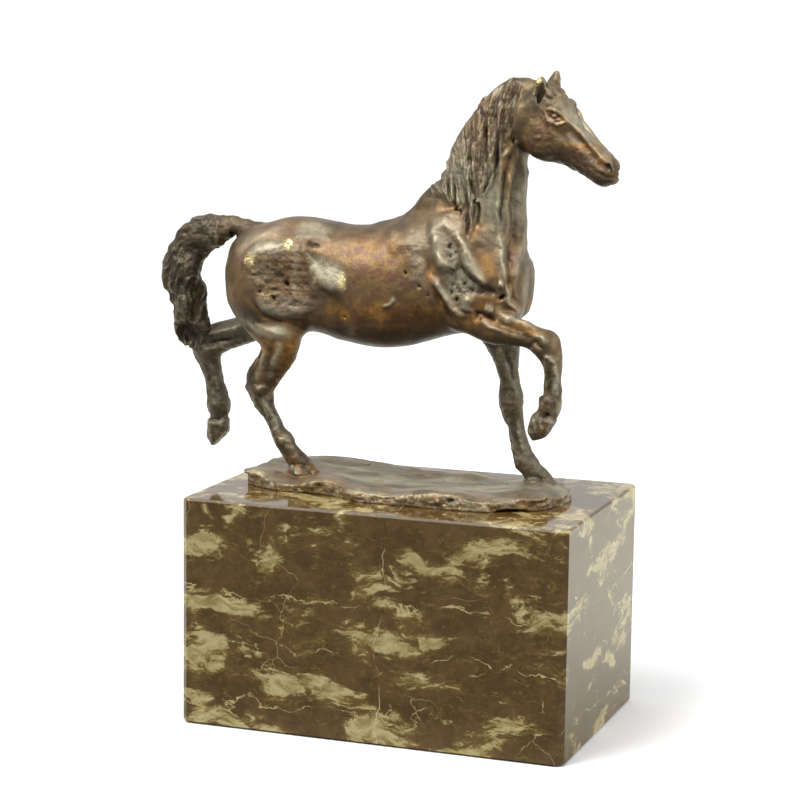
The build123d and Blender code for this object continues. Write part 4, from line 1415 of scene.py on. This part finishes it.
def marble():
    """Polished brown marble with olive and beige clouds in lying drifts, and fine cream veins."""
    r = Finish("brown_marble")
    warp = r.node("TexNoise", Vector=r.place, Scale=1 / (26 * MM), Detail=6.0).outputs["Color"]
    bent = r.node("VectorMath", warp, (0.022, 0.022, 0.018), r.place, operation="MULTIPLY_ADD").outputs[0]
    lying = r.stretch(bent, (0.5, 0.5, 1.3))
    clouds = r.noise(22.0, 6.0, 0.6, 0.5, lying)
    shreds = r.noise(5.0, 6.0, 0.72, 0.8, lying)
    fine = r.noise(1.6, 4.0, 0.75)
    drift = r.math("ADD", r.math("MULTIPLY", clouds, 0.75), r.math("MULTIPLY", shreds, 0.25))
    body = r.mix(r.ramp(r.noise(9.0, 6.0, 0.75), 0.35, 0.65), colour("4a3717"), colour("5f4826"))
    body = r.mix(r.ramp(fine, 0.55, 0.7, 0.0, 0.6), body, colour("36280f"))
    body = r.mix(r.ramp(r.noise(3.0, 5.0, 0.8, 0.0, lying), 0.56, 0.66, 0.0, 0.5), body, colour("83703f"))
    halo = r.ramp(drift, 0.50, 0.545, 0.0, 0.75)
    stone = r.mix(halo, body, colour("6f5828"))
    pale = r.mix(r.ramp(shreds, 0.36, 0.64), colour("887643"), colour("b8ab7c"))
    stone = r.mix(r.ramp(drift, 0.532, 0.575, 0.0, 0.95), stone, pale)
    stone = r.mix(r.ramp(fine, 0.58, 0.72, 0.0, 0.35), stone, colour("5f4a22"))
    along, across, up = r.split(bent)
    lying = r.math("ADD", up, r.math("MULTIPLY", clouds, 0.03))
    upright = r.math("ADD", along, r.math("MULTIPLY", r.noise(60.0, 1.0), 0.02))
    for place, level, thickness, length, start, end, share, tone in (
        (lying, 0.0865, 0.00055, 14.0, 0.42, 0.56, 0.8, "c2b27c"),
        (lying, 0.036, 0.0004, 14.0, 0.42, 0.56, 0.8, "c2b27c"),
        (lying, 0.064, 0.0003, 14.0, 0.42, 0.56, 0.8, "c2b27c"),
        (upright, 0.028, 0.0004, 16.0, 0.46, 0.6, 0.7, "c4b98f"),
    ):
        gap = r.math("ABSOLUTE", r.math("SUBTRACT", place, level))
        seam = r.math("MULTIPLY", r.ramp(gap, thickness, 0.0001), r.ramp(r.noise(length, 3.0), start, end))
        stone = r.mix(r.math("MULTIPLY", seam, share), stone, colour(tone))
    cells = r.node("TexVoronoi", Vector=bent, Scale=1 / (40 * MM), feature="DISTANCE_TO_EDGE")
    vein = cells.outputs["Distance"]
    line = r.math("MULTIPLY", r.ramp(vein, 0.0035, 0.0008), r.ramp(r.noise(30.0, 2.0), 0.52, 0.62))
    stone = r.mix(r.math("MULTIPLY", line, 0.7), stone, colour("b5a776"))
    r.set(Base_Color=stone, Roughness=0.07, IOR=1.5, Specular_IOR_Level=0.5)
    return r.material


def felt():
    r = Finish("green_felt")
    fibre = r.noise(0.5, 4.0, 0.7)
    r.set(Base_Color=r.mix(fibre, colour("1d2b22"), colour("33483a")), Roughness=0.95, Sheen_Weight=0.4)
    r.set(Normal=r.bump(fibre, 0.3))
    return r.material


def steel():
    r = Finish("zinc_plated_steel")
    brushed = r.noise(0.5, 3.0, 0.6, 0.0, r.stretch(r.place, (1.0, 1.0, 12.0)))
    tint = r.mix(r.noise(4.0), colour("a9abad"), colour("8d9093"))
    r.set(Base_Color=tint, Metallic=1.0, Roughness=r.ramp(brushed, 0.3, 0.7, 0.25, 0.42))
    r.set(Normal=r.bump(brushed, 0.05))
    return r.material


def plain_bronze():
    """For the pins, which are dressed flush."""
    r = Finish("dressed_bronze")
    mottle = r.noise(2.0, 3.0, 0.6)
    r.set(Base_Color=r.mix(mottle, colour("5a3f2b"), colour("8a6a40")), Metallic=0.85, Roughness=0.35)
    r.set(Normal=r.bump(mottle, 0.05))
    return r.material


def paper():
    """The pale floor. Pale as the camera sees it; to reflected and bounced light it is dark in front and pale
    behind, painted shade in what it throws back.
    """
    r = Finish("pale_floor")
    seen = r.node("LightPath").outputs["Is Camera Ray"]
    behind = r.ramp(r.split(r.place)[1], -0.12, 0.02)
    # To reflected and bounced light the floor is dark in front: painted shade.
    painted_bounce = r.mix(behind, (0.2, 0.2, 0.2), (0.82, 0.82, 0.73))
    r.set(Base_Color=r.mix(seen, painted_bounce, (0.92, 0.92, 0.92)), Roughness=0.9)
    r.set(Specular_IOR_Level=0.1)
    return r.material


# ---------------------------------------------------------------- stage


def put_in_scene(name, data):
    thing = bpy.data.objects.new(name, data)
    bpy.context.scene.collection.objects.link(thing)
    return thing


def stand_camera():
    """Looks along the given angles, rolled a little, from in front of the plinth's right corner."""
    azimuth, elevation, roll = (math.radians(angle) for angle in (19.901, 9.026, 0.751))
    place = (0.36558, -1.03014, 0.31950)
    level = math.cos(elevation)
    back = Vector((math.sin(azimuth) * level, -math.cos(azimuth) * level, math.sin(elevation)))
    right = Vector((0, 0, 1)).cross(back).normalized()
    up = back.cross(right)
    turned_right = right * math.cos(roll) + up * math.sin(roll)
    turned_up = up * math.cos(roll) - right * math.sin(roll)
    data = bpy.data.cameras.new("camera")
    data.sensor_width = 36.0
    data.lens = 109.5
    camera = put_in_scene("camera", data)
    camera.matrix_world = Matrix([*zip(turned_right, turned_up, back, place), (0, 0, 0, 1)])
    bpy.context.scene.camera = camera


def softbox(name, place, target, width, height, power):
    data = bpy.data.lights.new(name, "AREA")
    data.shape = "RECTANGLE"
    data.size, data.size_y = width, height
    data.energy = power
    light = put_in_scene(name, data)
    light.location = place
    light.rotation_euler = (Vector(target) - Vector(place)).to_track_quat("-Z", "Y").to_euler()


def light_stage():
    middle = (cad_low + cad_high) / 2
    softbox("top", middle + Vector((-0.3, -0.7, 1.5)), middle, width=1.2, height=0.8, power=7.5)
    softbox("fill", middle + Vector((1.5, -0.3, 0.7)), middle, width=0.9, height=1.0, power=12)
    data = bpy.data.lights.new("key", "SUN")
    data.energy = 2.15
    data.angle = math.radians(30)
    key = put_in_scene("key", data)
    key.rotation_euler = Vector((-0.55, -0.75, 1.15)).to_track_quat("Z", "Y").to_euler()
    bpy.context.scene.view_settings.view_transform = "Standard"


def white_room():
    """White to the camera. Its reflection and light are dim low down in front, and bright behind."""
    world = bpy.data.worlds.new("white_room")
    world.use_nodes = True
    r = Recipe(world.node_tree)
    x, y, z = r.split(r.node("TexCoord").outputs["Generated"])
    overhead = r.ramp(z, 0.0, 0.9, 0.28, 1.15, "LINEAR")
    around = r.node("Background", Strength=r.math("MAXIMUM", overhead, r.ramp(y, 0.1, 0.8, shape="LINEAR")))
    seen = r.node("Background", (1, 1, 1, 1))
    camera = r.node("LightPath").outputs["Is Camera Ray"]
    r.node("OutputWorld", r.node("MixShader", camera, around.outputs[0], seen.outputs[0]).outputs[0])
    bpy.context.scene.world = world


def lay_floor(reach=30.0):
    mesh = bpy.data.meshes.new("floor")
    outline = [(-reach, -reach, 0), (reach, -reach, 0), (reach, reach, 0), (-reach, reach, 0)]
    mesh.from_pydata(outline, [], [range(4)])
    mesh.materials.append(paper())
    put_in_scene("floor", mesh)


# ---------------------------------------------------------------- making


stand_camera()
light_stage()
white_room()
lay_floor()

bronze_finish = bronze()
skin = worked_skin()
owners = face_owners(skin)
for index, node in enumerate(CASTINGS):
    piece = cut_casting(skin, owners == index, f"{node}_casting", bronze_finish)
    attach(piece, "root")
    if node == "torso":
        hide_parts("torso", "core_pin_plugs")
    else:
        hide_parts(node)

node_finishes = {"plinth_block": marble(), "felt_base": felt()}
node_finishes.update(dict.fromkeys(("front_hoof_pin", "rear_hoof_pin"), plain_bronze()))
fasteners = [f"{end}_{kind}" for end in ("front", "rear") for kind in ("stud", "washer", "nut")]
node_finishes.update(dict.fromkeys(fasteners, steel()))
for node, finish in node_finishes.items():
    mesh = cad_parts[node].data
    mesh.materials.clear()
    mesh.materials.append(finish)
